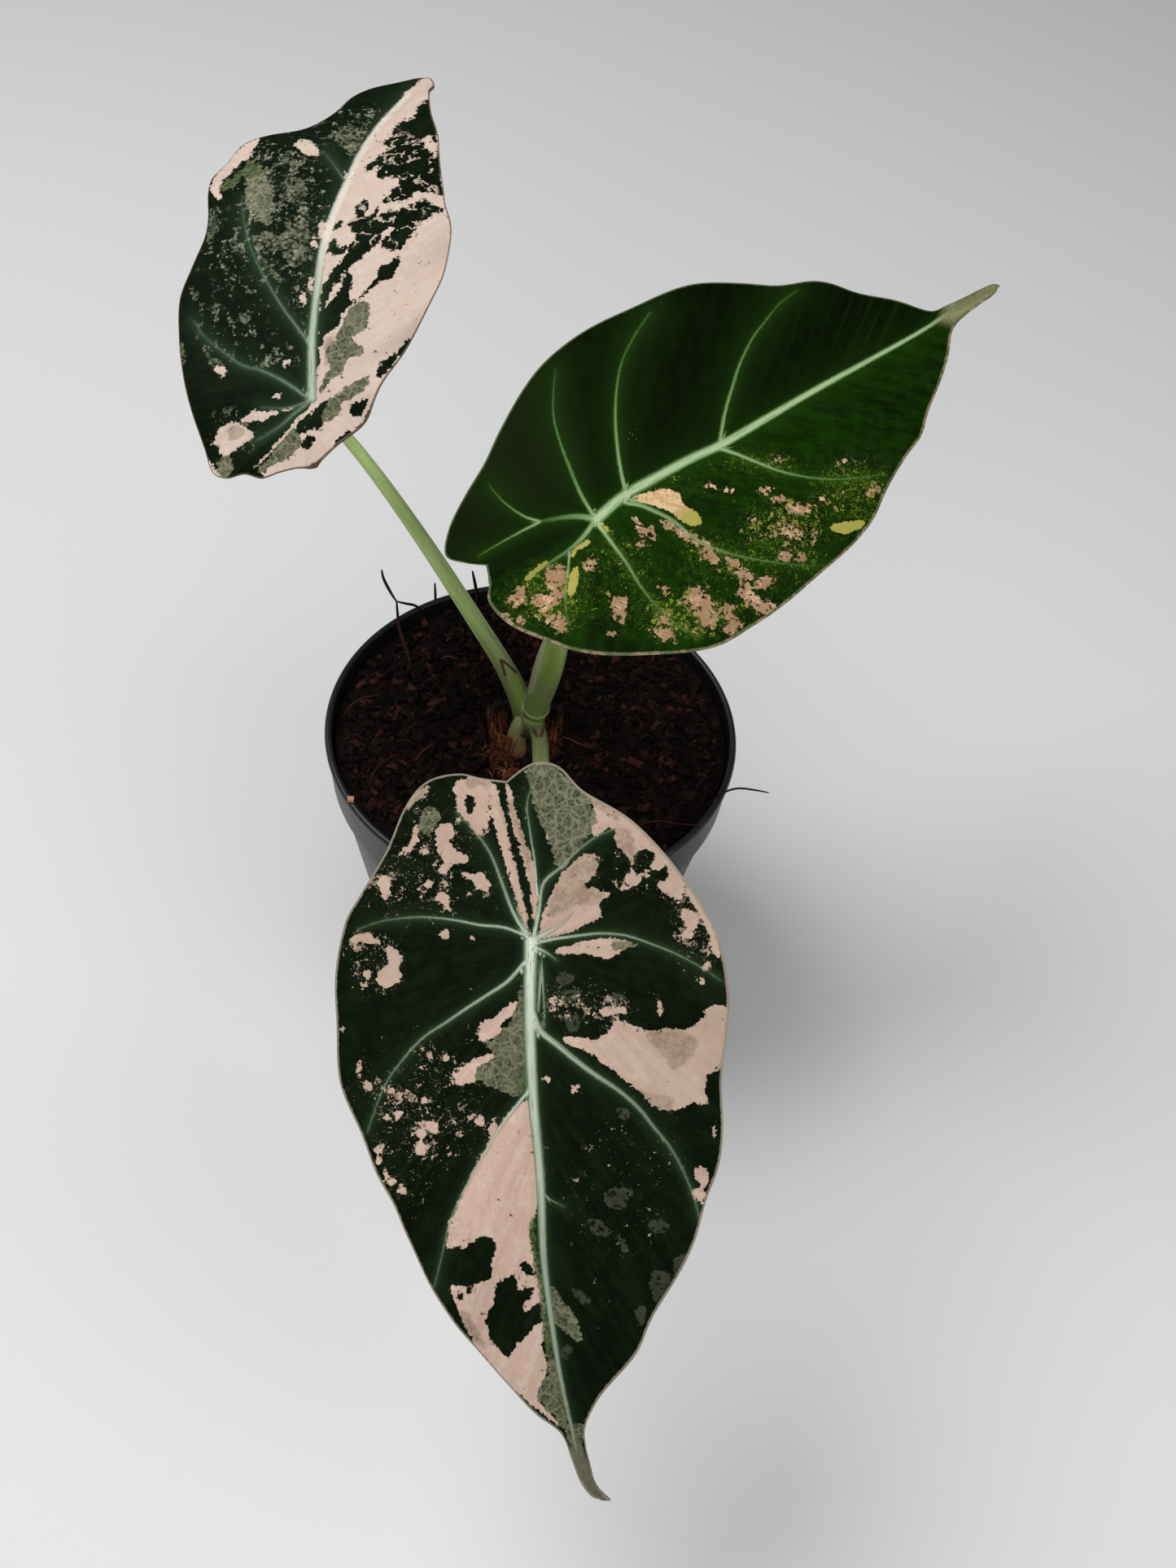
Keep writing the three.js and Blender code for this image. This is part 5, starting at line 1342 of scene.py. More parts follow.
def pot_material():
    """Satin black plastic with a little dust."""
    kit = Kit("pot plastic")
    grain = kit.noise(1.6, 3, 0.6)
    dust = (kit.noise(0.12, 4, 0.6) + 0.5).ramp(0.45, 0.85)
    colour = kit.mix(dust * 0.25, (0.005, 0.005, 0.006), (0.020, 0.019, 0.019))
    return kit.surface(colour, 0.38 + dust * 0.14 + grain * 0.08, kit.bump(grain, 0.05, 0.4), 0.35)


# Potting mix
SOIL_EDGE_Z = 88.0
SOIL_MOUND = 2.0
SOIL_SINK = 1.0
SOIL_GAP = 0.3
SOIL_WALL_GAP = 0.5
SOIL_SPOKES = 160
SOIL_RINGS = 60
SOIL_INNERMOST = 0.3
SOIL_TONE = 0.3
# Sine waves of the lumps: length and height in mm
LUMPS = [(19, 0.45), (11, 0.35), (6.3, 0.28), (3.7, 0.22), (2.3, 0.15)]
CHIP_COUNT = 3200
CHIPS_FROM_RADIUS = 9.5
CHIPS_TO_EDGE = 1.6
CHIP_TILT = 0.42
CHIP_SINK = 0.75
FIBRE_COUNT = 420
FIBRES_FROM_RADIUS = 10.5
FIBRES_REACH_LESS = 12
FIBRES_TO_EDGE = 3
FIBRE_BEND = 0.9
FIBRE_POINTS = 7


def inside_radius(z):
    """The pot's inner radius at a height."""
    radii, heights = zip(*POT_INSIDE[::-1])
    return np.interp(z, heights, radii)


def mound_z(radius):
    """Height of the mix, which falls off as the square of the radius."""
    return SOIL_EDGE_Z + SOIL_MOUND * (1 - (radius / RIM_RADIUS) ** 2)


def lumps(x, y):
    """Gentle lumps in mm: sums of turned sine waves, two to each length."""
    total = 0 * x
    for i, (length, height) in enumerate(LUMPS):
        for turn in (0.4 + i, 2.1 + 1.7 * i):
            across = x * math.cos(turn) + y * math.sin(turn)
            total = total + height * np.sin(across * 2 * math.pi / length + 2.3 * i + turn)
    return total * 0.5


def build_soil(material):
    """Rings down the inside of the pot, then ever smaller rings over the lumpy mound."""
    levels = [FLOOR_THICKNESS + SOIL_GAP, POT_HEIGHT / 2, COLLAR_Z - 2, COLLAR_Z + 1.5, SOIL_EDGE_Z]
    rings = [circle(inside_radius(z) - SOIL_WALL_GAP, SOIL_SPOKES, z) for z in levels]
    edge = inside_radius(SOIL_EDGE_Z) - SOIL_WALL_GAP
    for share in np.linspace(1, 0, SOIL_RINGS + 1)[1:]:
        radius = max(SOIL_INNERMOST, edge * share)
        ring = circle(radius, SOIL_SPOKES)
        ring[:, 2] = mound_z(radius) + lumps(ring[:, 0], ring[:, 1]) - SOIL_SINK
        rings.append(ring)
    points, faces = closed_rings(np.stack(rings))
    tone = np.full(len(points), SOIL_TONE)
    made = make_mesh("coco_bed", points, faces, material, attributes={"tone": tone})
    return belongs(made, "coco_mix", "potting_mix")


def build_chips(material, random):
    """Loose coco chips: boxes with shifted corners, most of them flat, strewn over the mound."""
    count = CHIP_COUNT
    edge = inside_radius(SOIL_EDGE_Z) - SOIL_WALL_GAP
    room = edge - CHIPS_TO_EDGE - CHIPS_FROM_RADIUS
    radius = CHIPS_FROM_RADIUS + room * np.sqrt(draws(random, count, 0, 1, 1.05))
    angle = random.random(count) * 2 * math.pi
    long = draws(random, count, 1.0, 3.4, 2.2)
    wide, thick = draws(random, count, 0.3, 0.4), draws(random, count, 0.2, 0.3)
    size = np.stack([long, long * wide, long * thick], -1)
    corners = np.array([(x, y, z) for z in (-0.5, 0.5) for y in (-0.5, 0.5) for x in (-0.5, 0.5)])
    local = corners[None] * size[:, None] * draws(random, (count, 8, 3), 0.65, 0.5)
    yaw = random.random(count) * 2 * math.pi
    tip, roll = random.normal(0, CHIP_TILT, count), random.normal(0, CHIP_TILT, count)
    for turn, (a, b) in ((roll, (1, 2)), (tip, (0, 2)), (yaw, (0, 1))):
        cos, sin = np.cos(turn)[:, None], np.sin(turn)[:, None]
        first, second = local[..., a] * cos - local[..., b] * sin, local[..., a] * sin + local[..., b] * cos
        local[..., a], local[..., b] = first, second
    x, y = radius * np.cos(angle), radius * np.sin(angle)
    z = mound_z(radius) - CHIP_SINK + 0.9 * lumps(x, y) + 0.8 * random.random(count)
    points = local + np.stack([x, y, z], -1)[:, None]
    reach = np.hypot(points[..., 0], points[..., 1])
    points[..., :2] *= np.minimum(1, (edge - 0.2) / reach)[..., None]
    quads = np.array([(0, 2, 3, 1), (4, 5, 7, 6), (0, 1, 5, 4), (1, 3, 7, 5), (3, 2, 6, 7), (2, 0, 4, 6)])
    faces = (quads[None] + np.arange(count)[:, None, None] * 8).reshape(-1, 4).tolist()
    tone = np.repeat(random.random(count) ** 1.6, 8)
    middle, size = (np.array(part) for part in RIM_CHIP)
    points, faces = join_parts([(points.reshape(-1, 3), faces), (middle + corners * size, quads.tolist())])
    tone = np.concatenate([tone, np.full(8, RIM_CHIP_TONE)])
    made = make_mesh("coco_chips", points, faces, material, smooth=False, attributes={"tone": tone})
    return belongs(made, "coco_mix")


def many_strands(routes, radius, sides=4):
    """Thin tubes along many routes given as (strand, point, xyz), thinning to both ends.

    Returns their points and faces and how many points each strand has.
    """
    routes = np.asarray(routes, float)
    count, steps = routes.shape[:2]
    along = unit(np.gradient(routes, axis=1))
    across = unit(np.cross(along, np.array([0.31, 0.17, 0.93])))
    up = np.cross(along, across)
    angle = turns(sides)
    thin = 0.35 + 0.65 * np.sin(np.linspace(0, math.pi, steps)) ** 0.5
    size = np.asarray(radius, float).reshape(-1, 1) * thin[None, :]
    points = (routes[:, :, None] + across[:, :, None] * (size[..., None] * np.cos(angle))[..., None]
              + up[:, :, None] * (size[..., None] * np.sin(angle))[..., None])
    each = steps * sides
    tubes = grid_faces(steps, sides, wrap=True)
    faces = (tubes[None] + np.arange(count)[:, None, None] * each).reshape(-1, 4).tolist()
    for first in range(0, count * each, each):
        faces.append(list(range(first, first + sides))[::-1])
        faces.append(list(range(first + each - sides, first + each)))
    return points.reshape(-1, 3), faces, each


# Longer loose strands: radius in mm, tone, route in mm
STRANDS = {
    "root_trunk": (0.55, 0.8, [(-34.6, 22, 87), (-36.8, 27, 90), (-39.7, 33.5, 93), (-41.3, 41, 97.5)]),
    "root_outer": (0.45, 0.85, [(-41.3, 40.6, 97.2), (-43.6, 42.6, 100), (-45.2, 43.4, 103.5),
                                (-45.8, 44.3, 106)]),
    "root_inner": (0.4, 0.8, [(-41.3, 40.6, 97.2), (-38.6, 41.6, 95.6), (-36, 43, 93.6),
                              (-33.6, 43.6, 91)]),
    "back_short": (0.4, 0.75, [(-30.6, 46, 88), (-30.5, 48, 91.5), (-30.9, 50.6, 96)]),
    "back_tall": (0.5, 0.75, [(-18.6, 49, 88), (-18.8, 52, 92), (-20.2, 54, 98.5)]),
    "left_inner": (0.3, 0.75, [(-33, 12, 87.5), (-31, 16, 90.4), (-28, 18, 91), (-26, 20, 90)]),
    "left_arc": (0.3, 0.9, [(-53, 4, 87.5), (-50, 7, 90), (-46, 9, 90.5), (-43, 11, 89)]),
    "left_front": (0.3, 0.8, [(-44, -24, 88), (-41, -16, 90.2), (-36, -11, 90)]),
    "straw_left": (0.32, 1.25, [(-31.5, -13, 89.6), (-29, -9.6, 90.8), (-26.4, -7, 90.3)]),
    "straw_back": (0.35, 1.15, [(-27.5, 26, 89.6), (-25, 26.4, 90.6), (-22.4, 25.8, 90.2)]),
    "straw_by_crown": (0.3, 1.35, [(8.2, -1.6, 90.6), (11, -3, 91.2), (14.6, -4.2, 90.4)]),
    "right_back": (0.3, 0.7, [(28, 30, 87.9), (36, 26, 91.3), (44, 25, 88.5)]),
    "over_the_rim": (0.3, 0.8, [(49, -22, 89), (53, -20.6, 92.9), (57, -19.4, 94), (62, -19.2, 93.6),
                                (66.1, -19, 92.6)]),
    "right_front": (0.3, 0.8, [(30, -31, 89.5), (36, -30.6, 91.4), (42, -31.4, 91.6), (47, -32, 92.6)]),
}
STRAND_POINTS = 24
STRAND_SIDES = 6
# A chip lying on the rim: middle, size
RIM_CHIP = ((-47.3, -30.8, 92.6), (1.7, 1.3, 1.1))
RIM_CHIP_TONE = 1.6


def build_fibres(material, random):
    """Short fibres arched over the mound, each bent in a level arc, and the longer strands."""
    count = FIBRE_COUNT
    edge = inside_radius(SOIL_EDGE_Z) - FIBRES_TO_EDGE
    radius = FIBRES_FROM_RADIUS + (edge - FIBRES_REACH_LESS) * np.sqrt(random.random(count))
    angle = random.random(count) * 2 * math.pi
    heading = random.random(count) * 2 * math.pi
    length = draws(random, count, 3, 9, 2)
    bend = random.normal(0, FIBRE_BEND, count)
    t = np.linspace(-0.5, 0.5, FIBRE_POINTS)
    turn = heading[:, None] + bend[:, None] * t
    x = radius[:, None] * np.cos(angle)[:, None] + length[:, None] * t * np.cos(turn)
    y = radius[:, None] * np.sin(angle)[:, None] + length[:, None] * t * np.sin(turn)
    fit = np.minimum(1, edge / np.hypot(x, y))
    x, y = x * fit, y * fit
    lift = 0.3 + 1.6 * random.random(count)[:, None] * np.cos(math.pi * t) ** 2
    z = mound_z(np.hypot(x, y)) - 0.4 + lift
    *fibres, each = many_strands(np.stack([x, y, z], -1), draws(random, count, 0.07, 0.08))
    tone = np.repeat(draws(random, count, 0.45, 0.55), each)
    radii, tones, routes = zip(*STRANDS.values())
    smooth_routes = [smooth_route(route, np.linspace(0, 1, STRAND_POINTS))[0] for route in routes]
    *strands, each = many_strands(smooth_routes, radii, STRAND_SIDES)
    tone = np.concatenate([tone, np.repeat(tones, each)])
    made = make_mesh("coco_fibres", *join_parts([fibres, strands]), material, attributes={"tone": tone})
    return belongs(made, "coco_mix")


def soil_material():
    """Dark reddish brown; the tone of each chip or fibre lifts it towards tan."""
    kit = Kit("coco mix")
    fine = kit.noise(2.4, 5, 0.7)
    broad = kit.noise(0.25, 3, 0.6)
    tone = kit.attribute("tone") + fine * 0.5 + broad * 0.3
    colour = kit.mix(tone.ramp(0.0, 0.6), srgb(4, 2, 1), srgb(24, 11, 9))
    colour = kit.mix(tone.ramp(0.6, 1.05), colour, srgb(64, 34, 25))
    colour = kit.mix(tone.ramp(1.3, 1.7), colour, srgb(196, 150, 126))
    return kit.surface(colour, 0.84 + fine * 0.2, kit.bump(fine, 0.4, 0.8), 0.1)


# Petioles, crown and bud. A swelling is given as (extra mm, share of the length, reach in shares).
PETIOLES = {
    "front": {"foot": 2.2, "top": 2.3, "swell": (0, 0, 1), "route": [
        (1, 0.5, 80), (1.5, -3.2, 93), (2.4, -16, 105), (3.7, -50, 118.5), (4.3, -86, 135),
        (3.4, -113.6, 148)]},
    "right": {"foot": 3.25, "top": 2.3, "swell": (1.1, 0.3, 0.14), "route": [
        (-0.6, 1.6, 80), (0.2, 3, 93), (2.6, 4.2, 106), (5, 1.8, 124), (8.6, -5, 152),
        (12.4, -18.4, 186.6)]},
    "left": {"foot": 2.9, "top": 1.4, "swell": (0.5, 0.12, 0.08), "route": [
        (-1.4, 2.5, 80), (-2.3, 4.4, 93), (-7.2, 6.4, 106), (-16.9, 7.6, 125), (-32.6, 6.6, 157),
        (-46.8, 1.8, 187), (-56.2, -1.9, 204)]},
}
SHEATH_SHARE = 0.28
SHEATH_WIDENING = 0.15
CHANNEL_DEPTH_SHARE = 0.12
CHANNEL_HALF_ANGLE = 0.6
PETIOLE_BLADE_GAP = 0.3
PETIOLE_RINGS = 220
PETIOLE_SIDES = 48
PETIOLE_SHARP_DEGREES = 50
CROWN_MIDDLE = (-0.4, 1.6)
CROWN_RADIUS = 5.7
CROWN_DEPTH_SHARE = 0.85
CROWN_WIDEST_SHARE = 0.42
CROWN_DOME_POWER = 2.2
CROWN_BOTTOM_Z = 70.0
CROWN_TOP_Z = 95.5
CROWN_RINGS = 40
CROWN_RING_POWER = 1.6
BUD_ROUTE = [(-2.8, -1, 80), (-3.9, -5.8, 87.5), (-4.1, -5.4, 92), (-3.6, -2.0, 98.4)]
BUD_RADIUS = 3.2
BUD_BLUNTNESS = 1.05
BUD_LENGTH = 14
BUD_RINGS = 40
BUD_SIDES = 28
SHEATH_RIM_MIDDLE = (0.9, 3.4)
SHEATH_RIM_RADIUS = 3.75
SHEATH_RIM_TUBE = 0.42
SHEATH_RIM_Z = 97.6
SHEATH_RIM_DIP = 1.6
SHEATH_RIM_DEGREES = (195, 355)
SHEATH_RIM_LENGTH = 4
SHEATH_RIM_RINGS = 60
SHEATH_RIM_SIDES = 16

# Marks on the petioles, as lines in the photograph's pixels: (half width, line)
STEM_MARKS = {
    "brown": {
        "roof_left": (1.4, [(615, 811), (618, 820), (621, 830)]),
        "roof_right": (1.4, [(618, 812), (626, 819), (634, 826)]),
        "v_left": (1.9, [(656, 897), (657.5, 900), (659.5, 904)]),
        "v_right": (1.9, [(667, 896.5), (666.5, 900), (665, 904)]),
        "spot": (1.8, [(641, 904), (643, 904)]),
    },
    "fold": {
        "sheath_fold": (4.4, [(666, 788), (660, 815), (654, 835), (650, 848)]),
        "fold_edge": (1.2, [(646, 852), (642, 872), (640, 892)]),
    },
    "green": {
        "right_side": (8.5, [(681, 788), (678, 812), (674, 832)]),
        "left_low": (3.6, [(634, 832), (636, 850), (637, 868)]),
        "crease": (1.5, [(652, 886), (662, 889), (672, 886)]),
    },
}
STEM_MARK_POINTS = 16


def line_depth(at, lines):
    """Distance inside the nearest of several lines' edges, negative outside them."""
    depth = np.full(len(at), -FAR_PX)
    for width, line in lines.values():
        curve, _ = smooth_route(line, np.linspace(0, 1, STEM_MARK_POINTS))
        for a, b in zip(curve[:-1], curve[1:]):
            depth = np.maximum(depth, width - segment_gaps(at, a, b)[0])
    return depth


def petiole_radius(stem, share, angle):
    """Thins evenly to the top, with one swelling, a wider sheath low down and a shallow channel."""
    extra, at, reach = stem["swell"]
    plain = stem["top"] + (stem["foot"] - stem["top"]) * (1 - share) + extra * bell(share - at, reach)
    sheath = np.maximum(0, 1 - share / SHEATH_SHARE)
    channel = CHANNEL_DEPTH_SHARE * plain * bell(angle - math.pi / 2, CHANNEL_HALF_ANGLE)
    return plain + SHEATH_WIDENING * sheath ** 2 * (1 - np.sin(angle)) - channel


def stem_attributes(rings, along_mm, bud, shade):
    """What the stems' material reads at each point: the way round, the way along and the marks.

    A mark lies only on the side that faces the camera.
    """
    sides = rings.shape[1]
    points = rings.reshape(-1, 3)
    angle = turns(sides)
    seen = to_photo(points)
    outward = unit((rings - rings.mean(1, keepdims=True)).reshape(-1, 3) + 1e-9)
    facing = np.einsum("ij,ij->i", outward, unit(CAMERA_MM - points)) > -0.1
    made = {"around_x": np.tile(np.cos(angle), len(along_mm)),
            "around_y": np.tile(np.sin(angle), len(along_mm)), "run": np.repeat(along_mm, sides),
            "bud": np.full(len(points), bud), "shade": np.full(len(points), shade)}
    for key, lines in STEM_MARKS.items():
        made[key] = np.where(facing, line_depth(seen, lines), -FAR_PX) / PX_PER_MM
    return made


def petiole_rings(name, stem):
    """A tube along the petiole's route, whose last ring is slid along it to just under the blade."""
    shares = np.linspace(0, 1, PETIOLE_RINGS)
    rings = tube(stem["route"], PETIOLE_SIDES,
                 lambda share, angle: petiole_radius(stem, share, angle), shares)
    leaf = LEAVES[name]
    normal = unit(leaf["n"])
    plane = np.array(leaf["attach"]) - normal * (BLADE_THICKNESS / 2 + MIDRIB_DEPTH + PETIOLE_BLADE_GAP)
    along = unit(rings[-1] - rings[-2])
    slide = ((plane - rings[-1]) @ normal) / (along @ normal)
    rings[-1] += along * slide[:, None]
    length = np.linalg.norm(np.diff(rings.mean(1), axis=0), axis=1).sum()
    return rings, shares * length


def crown_rings():
    """An oval dome: its radius falls from the widest height by a power curve, up and down."""
    levels = 1 - np.linspace(1, 0, CROWN_RINGS) ** CROWN_RING_POWER
    reach = np.where(levels > CROWN_WIDEST_SHARE, 1 - CROWN_WIDEST_SHARE, 2 * CROWN_WIDEST_SHARE)
    away = np.minimum(0.995, np.abs(levels - CROWN_WIDEST_SHARE) / reach)
    radius = CROWN_RADIUS * (1 - away ** CROWN_DOME_POWER) ** (1 / CROWN_DOME_POWER)
    height = (CROWN_TOP_Z - CROWN_BOTTOM_Z) * levels
    z = (CROWN_BOTTOM_Z + height)[:, None]
    return oval(CROWN_MIDDLE, radius[:, None], CROWN_DEPTH_SHARE, turns(PETIOLE_SIDES), z), height


def bud_rings():
    """A tube with a blunt end, its radius the root of what a cubic leaves."""
    shares = np.linspace(0, 1, BUD_RINGS)

    def swell(share, angle):
        return BUD_RADIUS * np.sqrt(BUD_BLUNTNESS - share ** 3) + 0 * angle

    return tube(BUD_ROUTE, BUD_SIDES, swell, shares), shares * BUD_LENGTH


def sheath_rim_rings():
    """The collar's edge: a thin tube on an arc that dips in the middle and thins to both ends."""
    turn = np.radians(np.linspace(*SHEATH_RIM_DEGREES, 9))
    dip = SHEATH_RIM_DIP * np.sin((turn - turn[0]) / (turn[-1] - turn[0]) * math.pi)
    route = oval(SHEATH_RIM_MIDDLE, SHEATH_RIM_RADIUS, 1, turn, SHEATH_RIM_Z - dip)
    shares = np.linspace(0, 1, SHEATH_RIM_RINGS)

    def swell(share, angle):
        return SHEATH_RIM_TUBE * (0.3 + np.sin(math.pi * share) ** 0.7) + 0 * angle

    return tube(route, SHEATH_RIM_SIDES, swell, shares), shares * SHEATH_RIM_LENGTH


def build_petioles(material):
    """Each part as rings, how far along them, how much of a bud it is and how shaded."""
    # The last number of each part is painted shade: 1 darkens the front petiole.
    parts = [(*petiole_rings(name, stem), 0.0, 1.0 if name == "front" else 0.0)
             for name, stem in PETIOLES.items()]
    parts += [(*crown_rings(), 0.4, 0.0), (*bud_rings(), 1.0, 0.0), (*sheath_rim_rings(), 0.0, 0.0)]
    points, faces = join_parts([closed_rings(rings) for rings, *_ in parts])
    made = [stem_attributes(*part) for part in parts]
    joined = {key: np.concatenate([part[key] for part in made]) for key in made[0]}
    stems = make_mesh("petioles", points, faces, material,
                      sharp_degrees=PETIOLE_SHARP_DEGREES, attributes=joined)
    return belongs(stems, "petiole", "crown_and_petioles")


def petiole_material():
    """Smooth pale green, olive and finely streaked low down, with a cream fold and brown marks; the front
    petiole is darkened as painted shade.
    """
    kit = Kit("petiole")
    run, bud = kit.attribute("run"), kit.attribute("bud")
    around = kit.vector(kit.attribute("around_x") * 2.2, kit.attribute("around_y") * 2.2, run * 0.05)
    streaks = kit.noise(1.1, 3, 0.6, vector=around)
    fine = kit.noise(2.0, 3, 0.6)
    mottled = streaks * 0.9 + fine * 1.1 + 0.5
    colour = kit.mix(mottled.ramp(0.25, 0.75), srgb(152, 176, 100), srgb(178, 198, 128))
    colour = kit.mix((1 - (run + streaks * 20).ramp(20, 68)) * 0.92, colour, srgb(98, 110, 60))
    # Painted shade: the front petiole is darkened where the leaves above would shade it.
    colour = kit.mix(kit.attribute("shade") * 0.7, colour, srgb(84, 86, 54))
    bud_top = kit.mix((fine * 3 + streaks * 3 + 0.5).ramp(0.2, 0.8), srgb(92, 94, 50), srgb(112, 108, 66))
    bud_colour = kit.mix((run + streaks * 8).ramp(7, 12.5), srgb(122, 84, 62), bud_top)
    colour = kit.mix(bud.ramp(0.5, 0.8) * 0.9, colour, bud_colour)
    green = (kit.attribute("green") + streaks * 2.0).ramp(-0.9, 0.9)
    colour = kit.mix(green * 0.6, colour, srgb(112, 138, 40))
    fold = (kit.attribute("fold") + streaks * 1.2).ramp(-0.25, 0.3)
    colour = kit.mix(fold * (1 - bud) * 0.6, colour, srgb(172, 168, 140))
    mark = (kit.attribute("brown") + fine * 0.3).ramp(-0.16, 0.04)
    colour = kit.mix(mark * 0.95, colour, srgb(70, 26, 19))
    return kit.surface(colour, 0.46 + streaks * 0.2, kit.bump(streaks * 0.6 + fine * 0.4, 0.12, 0.4), 0.35)


# Dry sheath remains
CUFF_MIDDLE = (-2.0, 1.2)
CUFF_DEPTH_SHARE = 0.96
CUFF_INNER = 8.5
CUFF_THICKNESS = 0.8
CUFF_BOTTOM_Z = 82.0
CUFF_MIDDLE_Z = 90.0
CUFF_MIDDLE_FLARE = 0.3
CUFF_TOP_Z = 94.8
CUFF_RAGGED = 3.2
CUFF_PEAKS = 3.1
CUFF_PEAK_SHARE = 0.6
CUFF_TORN = 1.4
CUFF_FROM = -50.0
CUFF_TURN = 300.0
CUFF_SECTIONS = 34
CUFF_FINE_SECTIONS = 240
CUFF_LEVELS = 16
CUFF_FLARE = 0.3
CUFF_WOBBLE = 0.5
CUFF_GRAIN = 0.12
CUFF_SEED = 48
CUFF_BACK_WEAR = 3.8
CUFF_GAP = 0.35
CUFF_STRANDS = 260
CUFF_STRAND_POINTS = 8
CUFF_STRAND_FOOT_Z = 84
BUD_AS_STEM = {"foot": BUD_RADIUS, "top": BUD_RADIUS, "swell": (0, 0, 1), "route": BUD_ROUTE}
KEEP_OFF_SHARE = 0.35
KEEP_OFF_POINTS = 60


def keep_off_stems(points, gap):
    """Points nearer to a middle line of a petiole or the bud than its skin and a gap are pushed out."""
    moved = points.copy()
    for stem, reach in [(stem, KEEP_OFF_SHARE) for stem in PETIOLES.values()] + [(BUD_AS_STEM, 1.0)]:
        shares = np.linspace(0, reach, KEEP_OFF_POINTS)
        line, _ = smooth_route(stem["route"], shares)
        distance = np.linalg.norm(moved[:, None] - line[None], axis=-1)
        nearest = distance.argmin(1)
        at = line[nearest]
        out = unit(moved - at)
        skin = petiole_radius(stem, shares[nearest], np.full(len(moved), -math.pi / 2)) + gap
        close = distance[np.arange(len(moved)), nearest] < skin
        moved[close] = (at + out * skin[:, None])[close]
    return moved


def cuff_point(angle, extra, z, flare):
    """A point on the cuff's oval, which grows and wobbles in five waves as the flare goes from 0 to 1."""
    radius = CUFF_INNER + extra + (CUFF_WOBBLE * np.sin(5 * angle) + CUFF_FLARE) * flare
    return oval(CUFF_MIDDLE, radius, CUFF_DEPTH_SHARE, angle, z)


def cuff_wall(random):
    """A ragged open cuff of dry sheath: its top edge is a wave plus random steps, torn finer between."""
    draw = random_stream(CUFF_SEED)
    steps = np.arange(CUFF_SECTIONS + 1)
    swing = CUFF_PEAK_SHARE * np.sin(CUFF_PEAKS * np.radians(CUFF_FROM + CUFF_TURN * steps / CUFF_SECTIONS))
    coarse = CUFF_TOP_Z + CUFF_RAGGED * (swing + np.array([draw() for _ in steps]) - 0.5)
    sections = np.linspace(0, CUFF_SECTIONS, CUFF_FINE_SECTIONS)
    angle = np.radians(CUFF_FROM + CUFF_TURN * sections / CUFF_SECTIONS)
    top = np.interp(sections, steps, coarse) - CUFF_TORN * random.random(len(sections)) ** 2
    top -= CUFF_BACK_WEAR * np.maximum(0, np.sin(angle))
    skins = []
    for extra in (0, CUFF_THICKNESS):
        skin = []
        for share in np.linspace(0, 1, CUFF_LEVELS):
            z = CUFF_BOTTOM_Z + (top - CUFF_BOTTOM_Z) * share
            low = np.interp(z, [CUFF_BOTTOM_Z, CUFF_MIDDLE_Z], [0, CUFF_MIDDLE_FLARE])
            high = (1 - CUFF_MIDDLE_FLARE) * np.clip((z - CUFF_MIDDLE_Z) / (top - CUFF_MIDDLE_Z), 0, 1)
            grain = CUFF_GRAIN * np.sin(67 * angle + 3 * share) * share
            skin.append(cuff_point(angle, extra + grain, z, low + high))
        skins.append(skin)
    points, faces = closed_rings(np.stack(skins[0] + skins[1][::-1], 1)[::-1])
    return keep_off_stems(points, CUFF_GAP), faces


def build_cuff(material, random):
    """The cuff's wall and loose strands that stand against its outside, leaning round it. Both are painted
    lighter on the front and darker at the back, as painted light and shade.
    """
    wall, wall_faces = cuff_wall(random)
    count = CUFF_STRANDS
    start = np.radians(CUFF_FROM + CUFF_TURN * random.random(count))
    t = np.linspace(0, 1, CUFF_STRAND_POINTS)
    lean = start[:, None] + random.normal(0, 0.16, count)[:, None] * t
    tall = 7 + 6.0 * random.random(count)[:, None] - CUFF_BACK_WEAR * np.maximum(0, np.sin(lean))
    spread = draws(random, count, 1.0, 0.8)[:, None]
    routes = cuff_point(lean, spread, CUFF_STRAND_FOOT_Z + tall * t, 0.1 + 0.9 * t ** 2)
    routes = keep_off_stems(routes.reshape(-1, 3), CUFF_GAP).reshape(count, len(t), 3)
    *strands, each = many_strands(routes, draws(random, count, 0.10, 0.16))
    # Painted light and shade: the wall is painted lighter on its front and near-black at the back.
    front = np.clip(0.45 - 0.75 * (wall[:, 1] - CUFF_MIDDLE[1]) / CUFF_INNER, 0, 1)
    # Painted light and shade: strands on the front are painted lighter, those at the back darker.
    painted_light = np.clip(0.5 - 0.8 * np.sin(start), 0.05, 1)
    tone = np.concatenate([0.5 * front - 0.15, np.repeat(random.random(count) * painted_light, each)])
    points, faces = join_parts([(wall, wall_faces), strands])
    made = make_mesh("dry_sheaths", points, faces, material, attributes={"tone": tone})
    return belongs(made, "dry_sheath", "sheath_remains")


HUSK_Z = 90.5
HUSK_FOOT_Z = 85.0
HUSK_SIDES = 90
HUSK_RINGS = 22
HUSK_STRAND_POINTS = 7
HUSK_GAP = 0.5
HUSK_TONE = -0.35
# Fibres of the husk: the middle angle and the spread in degrees, and how many
HUSK_LAYERS = {"left": (205, 38, 330), "right": (338, 24, 150), "round": (90, 120, 90)}
# Fuzz on the soil: middle x and y, spread x and y, count, tone
FUZZ_TUFTS = {
    "by_bud": (-8.4, -8.6, 1.9, 2.6, 210, 0.45),
    "in_front": (-5.6, -15.8, 1.9, 1.2, 90, 0.85),
    "by_right": (6.6, -4.6, 0.9, 2.8, 90, 0.35),
    "around": (-4.0, -8.0, 6.5, 4.5, 120, 0.15),
}


